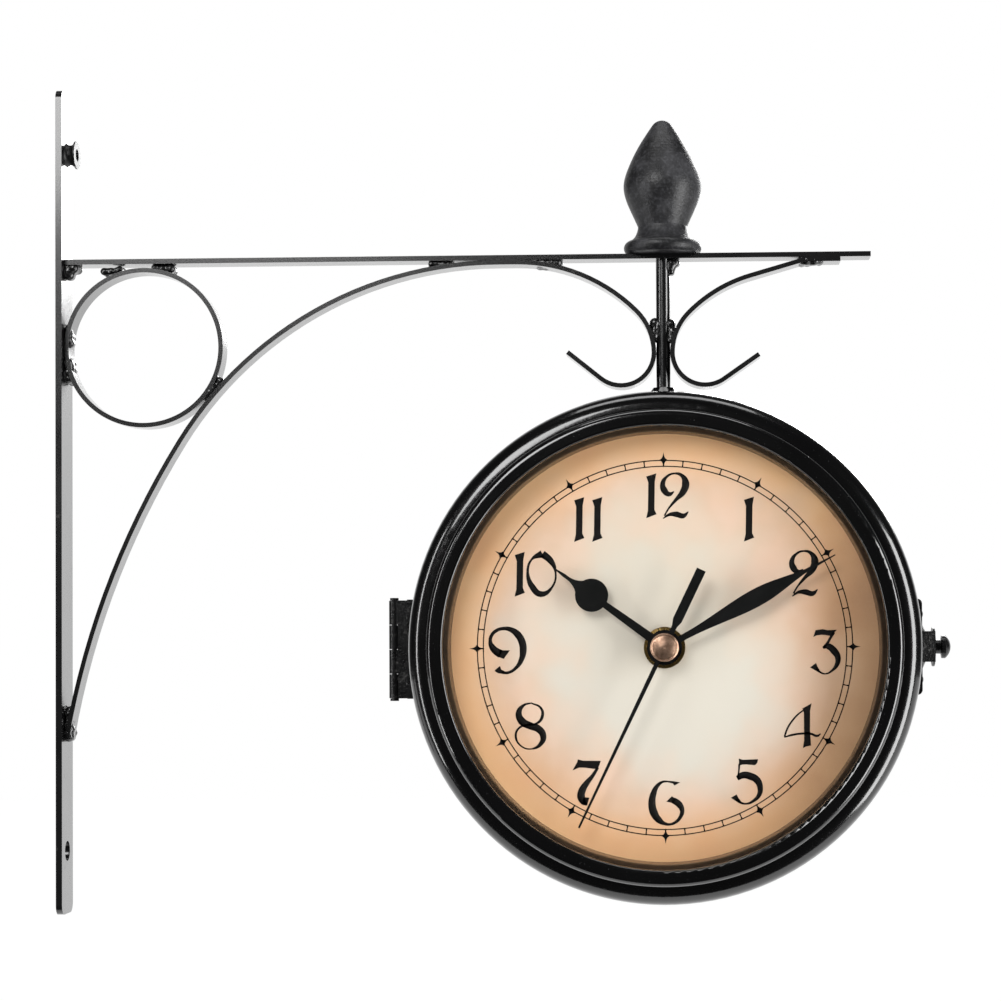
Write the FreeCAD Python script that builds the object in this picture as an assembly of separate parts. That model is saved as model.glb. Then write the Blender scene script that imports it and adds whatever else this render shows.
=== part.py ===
import FreeCAD, Part
import math
import os

V = FreeCAD.Vector
os.makedirs("parts", exist_ok=True)

# Double sided station clock on a wall bracket. Millimetres.
# Origin: centre of the wall plate's back face. +X leads out along the arm, +Z is up,
# and the bracket's mid-plane is y = 0, so one dial faces -Y and the other +Y.

# ---- wall plate -------------------------------------------------------------------------
plate_height = 330.0
plate_width = 18.0
plate_thick = 2.5
plate_corner = 4.0
hole_inset = 25.0           # screw holes from the plate's ends
lower_hole_d = 8.0
bush_shank_d = 8.0
bush_bore_d = 5.0
bush_rim_d = 11.0
bush_waist_d = 8.6
bush_stand = 4.2

# ---- bent flat bars of the bracket ------------------------------------------------------
bar_width = 10.0
bar_thick = 1.8
arm_thick = 2.0
arm_under = 95.0            # height of the arm's underside
arm_end = 325.0             # the arm's free end, from the wall
ring_outer_d = 64.0
ring_drop = 1.6             # gap from the arm to the ring, closed by weld
arch_foot_z = -95.0
arch_lean = 10.0            # degrees off the wall at the foot
arch_knee_heading = 58.0    # heading where the slow curve meets the quicker one
arch_crown_x = 176.0
arch_crown_flat = 8.0
scroll_radius = 13.0        # centre line radius of both scroll loops
scroll_side_z = 57.5        # height where the loops stand upright against the rod
arch_tail_rise = 38.7       # degrees
front_tail_rise = 34.8      # degrees
tail_length = 17.0
front_scroll_end = 313.0
front_scroll_lap = 12.0     # stretch lying flat under the arm
front_scroll_dip = 16.0     # degrees down from the arm
front_scroll_leg = 21.0

# ---- welds of the bracket ---------------------------------------------------------------
weld_inset = 1.0            # a weld stops this short of the bar's edges
weld_half = 3.3             # half a weld's length along its seam
weld_fill = 2.2             # widest gap that a weld closes
ring_weld_back = 13.0       # ring to arm: behind and in front of the ring's centre
ring_weld_front = 7.5
ring_weld_low = 8.5         # ring to plate: below and above the ring's centre
ring_weld_high = 6.0
ring_arch_angle = -29.8     # where the ring touches the arch
ring_arch_weld_d = 9.0
foot_weld_length = 13.0
crown_weld_back = 22.5      # arch to arm: behind and in front of the crown
crown_weld_front = 21.0
scroll_weld_from_end = 11.5
rod_weld_up = 9.0           # loops to rod, above where the loops stand upright
corner_weld = 4.2
gusset_drop = 5.5

# ---- hanger rod and finial --------------------------------------------------------------
rod_x = 242.5
rod_d = 5.6
rod_stud = 14.0             # above the arm, inside the finial
thread_d = 5.0
finial_height = 54.0
finial_base_d = 31.0
finial_base_thick = 5.4
finial_neck_d = 19.6
finial_neck_z = 11.3
finial_bulb_d = 31.0
finial_bulb_z = 27.5

# ---- clock head -------------------------------------------------------------------------
roof_height = 39.0          # top of the drum, just under the scroll loops
case_radius = 99.0
case_wall = 1.5
shoulder_radius = 7.0
shoulder_top = 10.0         # shoulder's height above the dial
seam_bead = 1.0
seam_y = -8.0               # the front half ends here
spigot_reach = 3.0
spigot_root = 6.0
spigot_wall = 1.5
spigot_gap = 0.3
dial_offset = 30.0          # dial's face from the mid-plane
dial_inset = 0.7            # dial's edge, in from the bezel's outside
dial_thick = 2.0
mouth_inset = 7.8           # bezel's outside, in from the drum's
lip_inset = 6.6             # bezel's lip, in from its outside
bezel_rise = 16.0           # bezel's front above the dial
bezel_round = 2.5
bezel_lip_round = 1.4
bezel_lip_thick = 1.5
bezel_flange = 1.2
bezel_flange_thick = 1.4
bezel_gap = 0.2
glass_thick = 1.9
glass_inset = 4.2           # glass's edge, in from the bezel's outside
glass_gap = 0.3
glass_play = 0.1
spacer_lean = 2.1           # spacer's foot, in from the bezel's lip
spacer_wall = 1.2
spacer_rim = 1.5
dial_screw_d = 2.1
dial_screw_head_d = 3.6
dial_screw_head_thick = 1.4
dial_screw_bite = 7.0
dial_screw_count = 4

# ---- swivel on top of the case ----------------------------------------------------------
swivel_clearance = 0.08
swivel_collar_d = 11.6
swivel_collar_rise = 2.6
swivel_cone_d = 8.4
swivel_cone_rise = 2.2
swivel_shank_d = 9.8
swivel_shank_drop = 5.0
swivel_shank_gap = 0.1
bush_nut_flats = 13.0
bush_nut_thick = 3.0
nut_room = 2.5              # spanner room round the nut
roof_gap = 0.35             # under the roof, where the nut's corners meet its curve
thrust_washer_d = 12.0
thrust_washer_thick = 1.0
thrust_gap = 0.1
jam_nut_flats = 8.0
jam_nut_thick = 4.0
jam_nut_gap = 0.2
rod_tail = 2.0

# ---- hinge on the left of the case ------------------------------------------------------
hinge_length = 38.8
hinge_offset = 8.2          # pin's centre outside the case
hinge_knuckles = 4
knuckle_d = 4.2
knuckle_gap = 0.2
knuckle_room = 0.35
hinge_pin_d = 2.0
hinge_pin_clearance = 0.05
hinge_pin_head_d = 3.4
hinge_pin_head_thick = 1.0
leaf_reach = 14.0
leaf_thick = 1.6
leaf_web_thick = 1.5
leaf_seam_gap = 0.4
rivet_d = 2.4
rivet_head_d = 4.4
rivet_head_thick = 1.1
rivet_spread = 26.0
rivet_setback = 8.5

# ---- latch on the right of the case -----------------------------------------------------
latch_height = 34.0
latch_depth = 15.0
latch_thick = 2.6
latch_roll_d = 4.0
latch_axis_y = 2.5
latch_boss_d = 19.0
latch_boss_top_d = 7.0
latch_boss_rise = 3.0
screw_d = 3.8
screw_clearance = 0.08
screw_disc_d = 15.6
screw_disc_thick = 1.3
screw_neck_d = 5.6
screw_neck_length = 2.0
screw_knob_d = 9.2
screw_knob_length = 4.0
tongue_height = 12.0
tongue_thick = 1.2
tongue_foot = 9.0
tongue_slot_gap = 0.4
tongue_lap = 5.0
tongue_play = 0.2
tongue_rivet_spread = 6.0

# ---- quartz movement, one behind each dial ---------------------------------------------
movement_side = 56.0
movement_depth = 16.0
movement_corner = 4.0
neck_d = 8.0
neck_rise = 3.4
neck_hole_gap = 0.3
hub_nut_flange_d = 16.0
hub_nut_flange_thick = 0.9
hub_nut_flats = 11.0
hub_nut_thick = 2.9
hour_pipe_d = 5.0
minute_pipe_d = 3.3
arbor_d = 1.2
pipe_clearance = 0.05
pipe_depth = 9.0            # how far the pipes reach back behind the dial
hour_plane = 4.3
minute_plane = 6.4
second_plane = 8.5
hand_thick = 0.5
hour_length = 52.6
hour_bulb_r = 6.4
hour_bulb_at = 34.5
hour_root_width = 3.6
hour_waist_width = 2.6
minute_length = 74.4
minute_belly_width = 6.4
minute_belly_at = 45.0
minute_root_width = 3.4
minute_needle_width = 1.5
minute_needle_at = 61.0
hand_eye_d = 13.4
hour_eye_d = 12.6
second_length = 76.4
second_width = 1.8
second_tip_width = 0.8
second_tail = 33.0
second_tail_width = 3.7
second_tail_from = 11.5
second_eye_d = 8.0
hub_cap_d = 11.0
hub_cap_rise = 1.8
hour_angle = 306.0          # degrees clockwise from twelve, about ten past ten
minute_angle = 61.8
second_angle = 205.7
battery_d = 14.2
battery_length = 49.0
battery_nub_d = 5.2
battery_nub = 1.0
battery_drop = 19.6         # battery's centre below the hands' centre
battery_room = 0.3
contact_thick = 0.5
contact_width = 9.0
knob_up = 13.5              # setting knob's centre above the hands' centre
knob_d = 12.0
knob_thick = 2.2
knob_shaft_d = 3.0
knob_shaft_depth = 8.0
knob_ribs = 24
knob_rib_d = 0.9

# ---- values that follow from the ones above ---------------------------------------------
arm_top = arm_under + arm_thick
hole_spacing = plate_height - 2 * hole_inset
head_z = roof_height - case_radius
bezel_radius = case_radius - mouth_inset
bezel_lip_radius = bezel_radius - lip_inset
dial_radius = bezel_radius - dial_inset
glass_radius = bezel_radius - glass_inset
spacer_foot_radius = bezel_lip_radius - spacer_lean
case_inner = case_radius - case_wall
case_top = head_z + case_radius
roof_z = head_z + case_inner
front_seam = -(dial_offset + seam_y)
rear_seam = -(dial_offset - seam_y)
glass_top = bezel_rise - bezel_lip_thick
glass_seat = glass_top - glass_thick
rabbet_radius = glass_radius + glass_gap
movement_back = -dial_thick - movement_depth
screw_circle = (rabbet_radius + bezel_radius) / 2
knuckle_pitch = hinge_length / hinge_knuckles
bush_foot = case_top - swivel_shank_drop
pin_u = -(case_radius + hinge_offset)
boss_top = case_radius + latch_thick + latch_boss_rise
tongue_u = boss_top + tongue_play
disc_u = tongue_u + tongue_thick + tongue_play
ring_x = plate_thick + ring_outer_d / 2
ring_z = arm_under - ring_drop - ring_outer_d / 2
arch_foot_x = plate_thick + bar_thick / 2 * math.cos(math.radians(arch_lean))


# ---- drawing helpers --------------------------------------------------------------------
def polar(radius, degrees):
    """Point of a circle about the origin."""
    a = math.radians(degrees)
    return radius * math.cos(a), radius * math.sin(a)


def bend(cx, cy, radius, a0, a1):
    """Arc of an outline about (cx, cy): its middle point and its end point."""
    mid = polar(radius, (a0 + a1) / 2)
    end = polar(radius, a1)
    return (cx + mid[0], cy + mid[1]), (cx + end[0], cy + end[1])


def dome(radius, height, rise):
    """Arc of an outline from a rim up to the axis, as part of a sphere."""
    ball = (radius ** 2 + rise ** 2) / (2 * rise)
    centre = height + rise - ball
    a0 = math.degrees(math.atan2(height - centre, radius))
    return bend(0, centre, ball, a0, 90)


def outline(to_space, start, *moves):
    """Closed face from a start point and moves: a point for a line, a (middle, end) pair for an arc."""
    edges = []
    here = start
    for move in list(moves) + [start]:
        if isinstance(move[0], tuple):
            middle, end = move
            edges.append(Part.Arc(to_space(*here), to_space(*middle), to_space(*end)).toShape())
        else:
            end = move
            if math.dist(here, end) > 1e-6:
                edges.append(Part.LineSegment(to_space(*here), to_space(*end)).toShape())
        here = end
    return Part.Face(Part.Wire(edges))


def flat_xy(x, y):
    return V(x, y, 0)


def flat_xz(x, z):
    return V(x, 0, z)


def turned(start, *moves):
    """Solid of revolution about Z, from an outline in radius and height."""
    return outline(flat_xz, start, *moves).revolve(V(0, 0, 0), V(0, 0, 1), 360)


def rod(d, z0, z1, x=0.0, y=0.0):
    return Part.makeCylinder(d / 2, z1 - z0, V(x, y, z0))


def rod_along_y(d, y0, y1, x, z):
    return Part.makeCylinder(d / 2, y1 - y0, V(x, y0, z), V(0, 1, 0))


def rod_along_x(d, x0, x1, y, z):
    return Part.makeCylinder(d / 2, x1 - x0, V(x0, y, z), V(1, 0, 0))


def block(x0, x1, y0, y1, z0, z1):
    return Part.makeBox(x1 - x0, y1 - y0, z1 - z0, V(x0, y0, z0))


def hexagon(flats, z0, z1, x=0.0, y=0.0):
    corner = flats / math.sqrt(3)
    points = [V(x + polar(corner, 60 * i)[0], y + polar(corner, 60 * i)[1], z0) for i in range(7)]
    return Part.Face(Part.makePolygon(points)).extrude(V(0, 0, z1 - z0))


def moved(shape, x=0.0, y=0.0, z=0.0):
    copy = shape.copy()
    copy.translate(V(x, y, z))
    return copy


def to_face(shape, side):
    """Carry a piece drawn on the dial (x right, y up, z towards the viewer) to its side of the head."""
    copy = shape.copy()
    copy.rotate(V(0, 0, 0), V(1, 0, 0), 90)
    copy.translate(V(0, -dial_offset, 0))
    if side == "rear":
        copy.rotate(V(0, 0, 0), V(0, 0, 1), 180)
    copy.translate(V(rod_x, 0, head_z))
    return copy


def to_clock(shape, degrees):
    """Turn a hand that points to twelve clockwise to its place."""
    copy = shape.copy()
    copy.rotate(V(0, 0, 0), V(0, 0, 1), -degrees)
    return copy


def drum(radius):
    """Cylinder of the case's axis, long enough to cut saddles with."""
    return rod_along_y(2 * radius, -2 * dial_offset, 2 * dial_offset, rod_x, head_z)


class BarPath:
    """Centre line of a bent flat bar in the bracket's plane, walked by heading (degrees up from +X)."""

    def __init__(self, x, z, heading):
        self.x, self.z, self.heading = x, z, heading
        self.legs = []

    def line(self, length):
        dx, dz = polar(length, self.heading)
        self.legs.append(("line", self.x, self.z, dx, dz, self.heading))
        self.x += dx
        self.z += dz

    def arc(self, radius, turn):
        """Arc of this radius; a positive turn is to the left."""
        side = 1 if turn > 0 else -1
        lx, lz = polar(radius, self.heading + 90 * side)
        cx, cz = self.x + lx, self.z + lz
        a0 = self.heading - 90 * side
        self.legs.append(("arc", cx, cz, radius, a0, a0 + turn))
        ex, ez = polar(radius, a0 + turn)
        self.x, self.z = cx + ex, cz + ez
        self.heading += turn

    def blend(self, x, z, heading, via):
        """Two tangent arcs that land on a point with a given heading, joined where the heading is via."""
        side = 1 if heading > self.heading else -1
        rows = []
        for a, b in ((self.heading, via), (via, heading)):
            ra, rb = math.radians(a), math.radians(b)
            rows.append((side * (math.sin(rb) - math.sin(ra)), side * (math.cos(ra) - math.cos(rb))))
        (x1, z1), (x2, z2) = rows
        dx, dz = x - self.x, z - self.z
        det = x1 * z2 - x2 * z1
        first = (dx * z2 - x2 * dz) / det
        second = (x1 * dz - dx * z1) / det
        self.arc(first, via - self.heading)
        self.arc(second, heading - via)

    def side_moves(self, offset):
        """Start point and moves of the line that runs beside the path, offset to its left."""
        moves = []
        start = None
        for leg in self.legs:
            if leg[0] == "line":
                _, x, z, dx, dz, heading = leg
                ox, oz = polar(offset, heading + 90)
                first = (x + ox, z + oz)
                moves.append((x + dx + ox, z + dz + oz))
            else:
                _, cx, cz, radius, a0, a1 = leg
                beside = radius - offset if a1 > a0 else radius + offset
                px, pz = polar(beside, a0)
                first = (cx + px, cz + pz)
                moves.append(bend(cx, cz, beside, a0, a1))
            start = start or first
        return start, moves

    def bar(self, thick, width):
        """The flat bar itself: the strip between both side lines, extruded across the bracket."""
        left_start, left = self.side_moves(thick / 2)
        right_start, right = self.side_moves(-thick / 2)
        back = []
        points = [right_start] + [m[1] if isinstance(m[0], tuple) else m for m in right]
        for i in range(len(right) - 1, -1, -1):
            move = right[i]
            back.append((move[0], points[i]) if isinstance(move[0], tuple) else points[i])
        face = outline(flat_xz, left_start, *left, points[-1], *back)
        face.translate(V(0, -width / 2, 0))
        return face.extrude(V(0, width, 0))


# ---- bracket ----------------------------------------------------------------------------
def wall_plate():
    """Upright flat bar against the wall, with rounded corners and a hole near each end."""
    plate = block(0, plate_thick, -plate_width / 2, plate_width / 2, -plate_height / 2, plate_height / 2)
    corners = [
        e for e in plate.Edges
        if len(e.Vertexes) == 2
        and abs(e.Vertexes[0].X - e.Vertexes[1].X) > plate_thick / 2
    ]
    plate = plate.makeFillet(plate_corner, corners)
    plate = plate.cut(rod_along_x(bush_shank_d, -1, plate_thick + 1, 0, hole_spacing / 2))
    return plate.cut(rod_along_x(lower_hole_d, -1, plate_thick + 1, 0, -hole_spacing / 2))


def wall_bush():
    """Black spool pressed into the upper hole: the upper screw goes through it."""
    rim, waist = bush_rim_d / 2, bush_waist_d / 2
    top = plate_thick + bush_stand
    middle = plate_thick + bush_stand / 2
    spool = turned(
        (bush_bore_d / 2, 0),
        (bush_shank_d / 2, 0),
        (bush_shank_d / 2, plate_thick),
        (rim - 0.7, plate_thick),
        ((waist - 0.2, middle), (rim, top - 0.6)),
        (rim, top),
        (bush_bore_d / 2, top),
    )
    spool.rotate(V(0, 0, 0), V(0, 1, 0), 90)
    spool.translate(V(0, 0, hole_spacing / 2))
    return spool


def top_arm():
    """Straight flat bar from the wall plate to the free end, drilled for the rod."""
    arm = block(plate_thick, arm_end, -bar_width / 2, bar_width / 2, arm_under, arm_top)
    return arm.cut(rod(rod_d, arm_under - 1, arm_top + 1, rod_x))


def brace_ring():
    """Flat bar rolled into a ring in the corner between the wall plate and the arm."""
    outer = rod_along_y(ring_outer_d, -bar_width / 2, bar_width / 2, ring_x, ring_z)
    inner = rod_along_y(ring_outer_d - 2 * bar_thick, -bar_width, bar_width, ring_x, ring_z)
    return outer.cut(inner)


def arch_path():
    """From the wall plate up past the ring, under the arm, down beside the rod and out to a curled tail."""
    path = BarPath(arch_foot_x, arch_foot_z, 90 - arch_lean)
    path.blend(arch_crown_x, arm_under - bar_thick / 2, 0, arch_knee_heading)
    path.line(arch_crown_flat)
    path.blend(rod_x - rod_d / 2 - bar_thick / 2, scroll_side_z, -90, -45)
    path.arc(scroll_radius, -(90 + arch_tail_rise))
    path.line(tail_length)
    return path


def front_scroll_path():
    """From under the arm's free end back and down to the rod, and out to a curled tail."""
    path = BarPath(front_scroll_end, arm_under - bar_thick / 2, 180)
    path.line(front_scroll_lap)
    path.arc(scroll_radius, front_scroll_dip)
    path.line(front_scroll_leg)
    path.blend(rod_x + rod_d / 2 + bar_thick / 2, scroll_side_z, 270, 225)
    path.arc(scroll_radius, 90 + front_tail_rise)
    path.line(tail_length)
    return path


def hanger_rod():
    """Round rod through the arm: a stud for the finial above, the swivel's journal and thread below."""
    tail_z = bush_foot - thrust_gap - thrust_washer_thick - 2 * (jam_nut_thick + jam_nut_gap) - rod_tail
    journal_z = bush_foot - thrust_gap
    shaft = rod(rod_d, journal_z, arm_top, rod_x)
    stud = rod(thread_d, arm_top, arm_top + rod_stud, rod_x)
    tail = rod(thread_d, tail_z, journal_z, rod_x)
    return shaft.fuse([stud, tail]).removeSplitter()


def finial():
    """Turned wooden finial: round-edged foot, hollow neck and an acorn that closes to a blunt tip."""
    foot = finial_base_d / 2
    half = finial_base_thick / 2
    neck = finial_neck_d / 2
    bulb = finial_bulb_d / 2
    top = finial_height
    bore = thread_d / 2
    silhouette = Part.BSplineCurve()
    silhouette.interpolate([
        V(neck, 0, finial_neck_z),
        V(bulb * 0.87, 0, finial_bulb_z - 8),
        V(bulb, 0, finial_bulb_z),
        V(bulb * 0.87, 0, finial_bulb_z + (top - finial_bulb_z) * 0.29),
        V(bulb * 0.58, 0, finial_bulb_z + (top - finial_bulb_z) * 0.63),
        V(bulb * 0.26, 0, top - 2.2),
    ])
    tip_middle, tip_end = dome(bulb * 0.26, top - 2.2, 2.2)
    tip = Part.Arc(V(bulb * 0.26, 0, top - 2.2), flat_xz(*tip_middle), flat_xz(*tip_end))
    corners = [
        V(0, 0, top), V(0, 0, rod_stud), V(bore, 0, rod_stud), V(bore, 0, 0), V(foot - half, 0, 0),
    ]
    edges = [silhouette.toShape(), tip.toShape()]
    edges += [Part.LineSegment(a, b).toShape() for a, b in zip(corners, corners[1:])]
    edges.append(Part.Arc(
        V(foot - half, 0, 0), V(foot, 0, half), V(foot - half, 0, finial_base_thick)
    ).toShape())
    edges.append(Part.LineSegment(
        V(foot - half, 0, finial_base_thick), V(neck + 1.6, 0, finial_base_thick + 1.4)
    ).toShape())
    edges.append(Part.Arc(
        V(neck + 1.6, 0, finial_base_thick + 1.4),
        V(neck + 0.5, 0, finial_neck_z - 2.4),
        V(neck, 0, finial_neck_z),
    ).toShape())
    body = Part.Face(Part.Wire(Part.__sortEdges__(edges))).revolve(V(0, 0, 0), V(0, 0, 1), 360)
    return moved(body, x=rod_x, z=arm_top)


def weld_beads(bars):
    """Run beads that close the gaps where the bars touch, each cut back to the bars it joins."""
    reach = bar_width / 2 - weld_inset
    under = arm_under
    ring_top = ring_z + ring_outer_d / 2

    def under_arm(x, low):
        return block(x - weld_half, x + weld_half, -reach, reach, low, under)

    def on_plate(z, gap):
        return block(plate_thick, plate_thick + gap, -reach, reach, z - weld_half, z + weld_half)

    touch_x, touch_z = polar(ring_outer_d / 2, ring_arch_angle)
    beads = [
        under_arm(ring_x - ring_weld_back, ring_top - 1.5 * weld_fill),
        under_arm(ring_x + ring_weld_front, ring_top - weld_fill),
        on_plate(ring_z - ring_weld_low, weld_fill),
        on_plate(ring_z + ring_weld_high, weld_fill),
        rod_along_y(ring_arch_weld_d, -reach, reach, ring_x + touch_x, ring_z + touch_z),
        block(plate_thick, plate_thick + weld_fill, -reach, reach, arch_foot_z, arch_foot_z + foot_weld_length),
        under_arm(arch_crown_x - crown_weld_back, under - weld_fill),
        under_arm(arch_crown_x + crown_weld_front, under - weld_fill),
        under_arm(front_scroll_end - scroll_weld_from_end, under - weld_fill),
    ]
    for side in (-1, 1):
        x0, x1 = sorted((rod_x + side * rod_d / 4, rod_x + side * (rod_d / 2 + weld_fill)))
        z = scroll_side_z + rod_weld_up
        beads.append(block(x0, x1, -reach / 2, reach / 2, z - weld_half, z + weld_half))
    gusset_x = rod_x + rod_d / 4
    corner = outline(
        flat_xz, (plate_thick, under), (plate_thick + corner_weld, under), (plate_thick, under - corner_weld)
    )
    gusset = outline(
        flat_xz, (gusset_x, under), (gusset_x + corner_weld, under), (gusset_x, under - gusset_drop)
    )
    for wedge in (corner, gusset):
        wedge.translate(V(0, -reach / 2, 0))
        beads.append(wedge.extrude(V(0, reach, 0)))
    solids = []
    for bead in beads:
        left = bead.cut(bars)
        solids += [s for s in left.Solids if s.Volume > 1.0]
    return Part.makeCompound(solids)


# ---- case -------------------------------------------------------------------------------
def case_half(seam, spigot):
    """One pressed half of the drum: rolled edge at the seam, rounded shoulder, opening for the bezel."""
    out, inner, edge = case_radius, case_inner, seam_bead
    low = shoulder_top - shoulder_radius
    centre = out - shoulder_radius
    mouth = bezel_radius + bezel_gap
    moves = [
        (out, seam),
        bend(out, seam + edge, edge, -90, 90),
        (out, low),
        bend(centre, low, shoulder_radius, 0, 90),
        (mouth, shoulder_top),
        (mouth, shoulder_top - case_wall),
        (centre, shoulder_top - case_wall),
        bend(centre, low, shoulder_radius - case_wall, 90, 0),
    ]
    if not spigot:
        return turned((inner, seam), *moves)
    step = inner - spigot_gap
    moves += [
        (inner, seam + spigot_root),
        (inner - spigot_wall, seam + spigot_root),
        (inner - spigot_wall, seam - spigot_reach),
        (step, seam - spigot_reach),
        (step, seam),
    ]
    return turned((inner, seam), *moves)


def bezel():
    """Raised ring in the mouth of the case: rounded front, lip over the glass, flange behind the case."""
    out, lip, top = bezel_radius, bezel_lip_radius, bezel_rise
    flange_top = shoulder_top - case_wall
    ring = turned(
        (rabbet_radius, 0),
        (out, 0),
        (out, flange_top - bezel_flange_thick),
        (out + bezel_flange, flange_top - bezel_flange_thick),
        (out + bezel_flange, flange_top - bezel_flange_thick / 2),
        (out, flange_top),
        (out, top - bezel_round),
        bend(out - bezel_round, top - bezel_round, bezel_round, 0, 90),
        (lip + bezel_lip_round, top),
        bend(lip + bezel_lip_round, top - bezel_lip_round, bezel_lip_round, 90, 180),
        (lip, glass_top),
        (rabbet_radius, glass_top),
    )
    return ring.cut([rod(dial_screw_d, -1, dial_screw_bite, *p) for p in dial_screw_places()])


def glass():
    """Flat pane under the bezel's lip."""
    return rod(2 * glass_radius, glass_seat + glass_play / 2, glass_top - glass_play / 2)


def spacer_ring():
    """Channel ring between the dial and the glass, whose sloping inner wall frames the dial."""
    out = glass_radius
    top = glass_seat - glass_play
    lip = bezel_lip_radius
    foot = spacer_foot_radius
    return turned(
        (foot, 0),
        (out, 0),
        (out, spacer_rim),
        (foot + spacer_wall, spacer_rim),
        (lip + spacer_wall, top - spacer_rim),
        (out, top - spacer_rim),
        (out, top),
        (lip, top),
    )


def dial_screw_places():
    step = 360 / dial_screw_count
    return [polar(screw_circle, step / 2 + i * step) for i in range(dial_screw_count)]


def dial():
    """Flat disc that carries the printed face, drilled for the movement's neck and its screws."""
    disc = rod(2 * dial_radius, -dial_thick, 0)
    disc = disc.cut(rod(neck_d + 2 * neck_hole_gap, -dial_thick - 1, 1))
    return disc.cut([rod(dial_screw_d, -dial_thick - 1, 1, *p) for p in dial_screw_places()])


def dial_screws():
    """Screws through the dial's edge into the back of the bezel."""
    screws = []
    for x, y in dial_screw_places():
        shank = rod(dial_screw_d, -dial_thick, dial_screw_bite - 0.5, x, y)
        head = rod(dial_screw_head_d, -dial_thick - dial_screw_head_thick, -dial_thick, x, y)
        screws.append(shank.fuse(head))
    return Part.makeCompound(screws)


def roof_tools():
    """What is cut from the rear half at the top: the hole for the swivel bush and room for its nut."""
    hole = rod(swivel_shank_d + 2 * swivel_shank_gap, bush_foot, case_top + 1, rod_x)
    room = rod(bush_nut_flats + 2 * nut_room, bush_foot, case_top, rod_x).common(drum(case_inner))
    return [hole, room]


# ---- swivel -----------------------------------------------------------------------------
def swivel_bush():
    """Turned bush in the roof of the case: saddle-seated collar outside, shank inside, bore for the rod."""
    bore = rod_d / 2 + swivel_clearance
    collar, cone, shank = swivel_collar_d / 2, swivel_cone_d / 2, swivel_shank_d / 2
    top = case_top + swivel_collar_rise
    base = roof_z
    collar_part = turned(
        (bore, base), (collar, base), (collar, top), (cone, top + swivel_cone_rise),
        (bore, top + swivel_cone_rise),
    )
    collar_part = moved(collar_part, x=rod_x).cut(drum(case_radius))
    shank_part = moved(turned((bore, bush_foot), (shank, bush_foot), (shank, top), (bore, top)), x=rod_x)
    return collar_part.fuse(shank_part).removeSplitter()


def bush_nut():
    """Hexagon nut that clamps the bush from inside."""
    top = roof_z - roof_gap
    nut = hexagon(bush_nut_flats, top - bush_nut_thick, top, rod_x)
    return nut.cut(rod(swivel_shank_d, bush_foot - 9, case_top, rod_x))


def thrust_washer():
    """Washer on the rod that the bush turns on."""
    top = bush_foot - thrust_gap
    disc = rod(thrust_washer_d, top - thrust_washer_thick, top, rod_x)
    return disc.cut(rod(thread_d, top - 9, top + 9, rod_x))


def jam_nuts():
    """Pair of nuts locked against each other under the washer."""
    top = bush_foot - thrust_gap - thrust_washer_thick
    nuts = []
    for i in range(2):
        high = top - i * (jam_nut_thick + jam_nut_gap)
        nut = hexagon(jam_nut_flats, high - jam_nut_thick, high, rod_x)
        nuts.append(nut.cut(rod(thread_d, high - 9, high + 9, rod_x)))
    return Part.makeCompound(nuts)


# ---- hinge ------------------------------------------------------------------------------
def hinge_leaf(side):
    """Leaf seated on the drum, with a web standing out to its share of the knuckles."""
    way = 1 if side == "rear" else -1
    low, high = head_z - hinge_length / 2, head_z + hinge_length / 2
    pin_x = rod_x + pin_u
    wall_x = rod_x - case_radius - leaf_thick
    near = seam_y + way * leaf_seam_gap
    web_y = sorted((near, near + way * leaf_web_thick))
    pad_y = sorted((near, near + way * leaf_reach))
    pad = block(wall_x, rod_x - case_radius + 3, *pad_y, low, high).cut(drum(case_radius))
    bead_room = rod_along_y(
        2 * (case_radius + seam_bead + 0.1), seam_y - 2 * seam_bead - 0.2, seam_y + 2 * seam_bead + 0.2,
        rod_x, head_z,
    )
    pad = pad.cut(bead_room)
    web = block(pin_x, wall_x + 0.8, *web_y, low, high).cut(bead_room)
    leaf = pad.fuse(web)
    mine, others = [], []
    for i in range(hinge_knuckles):
        top = high - i * knuckle_pitch
        barrel = (pin_x, 0, top - knuckle_pitch)
        own = (i % 2 == 0) == (side == "front")
        if own:
            mine.append(rod(knuckle_d, barrel[2] + knuckle_gap / 2, top - knuckle_gap / 2, pin_x, seam_y))
        else:
            room = knuckle_d + 2 * knuckle_room
            others.append(rod(room, barrel[2] - knuckle_gap / 2, top + knuckle_gap / 2, pin_x, seam_y))
    leaf = leaf.cut(others).fuse(mine)
    bore = hinge_pin_d + (2 * hinge_pin_clearance if side == "front" else 0)
    leaf = leaf.cut(rod(bore, low - 1, high + 1, pin_x, seam_y))
    return leaf.cut(hinge_rivet_shanks(side)).removeSplitter()


def hinge_rivet_shanks(side):
    """Shanks of the two rivets of one leaf, along X."""
    y = seam_y + (rivet_setback if side == "rear" else -rivet_setback)
    x0, x1 = rod_x - case_radius - leaf_thick, rod_x - case_inner + 3
    return [rod_along_x(rivet_d, x0, x1, y, head_z + s * rivet_spread / 2) for s in (-1, 1)]


def hinge_pin():
    """Pin with a head at each end."""
    low, high = head_z - hinge_length / 2, head_z + hinge_length / 2
    x = rod_x + pin_u
    pin = rod(hinge_pin_d, low - hinge_pin_head_thick, high + hinge_pin_head_thick, x, seam_y)
    heads = [
        rod(hinge_pin_head_d, low - hinge_pin_head_thick, low, x, seam_y),
        rod(hinge_pin_head_d, high, high + hinge_pin_head_thick, x, seam_y),
    ]
    return pin.fuse(heads).removeSplitter()


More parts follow.
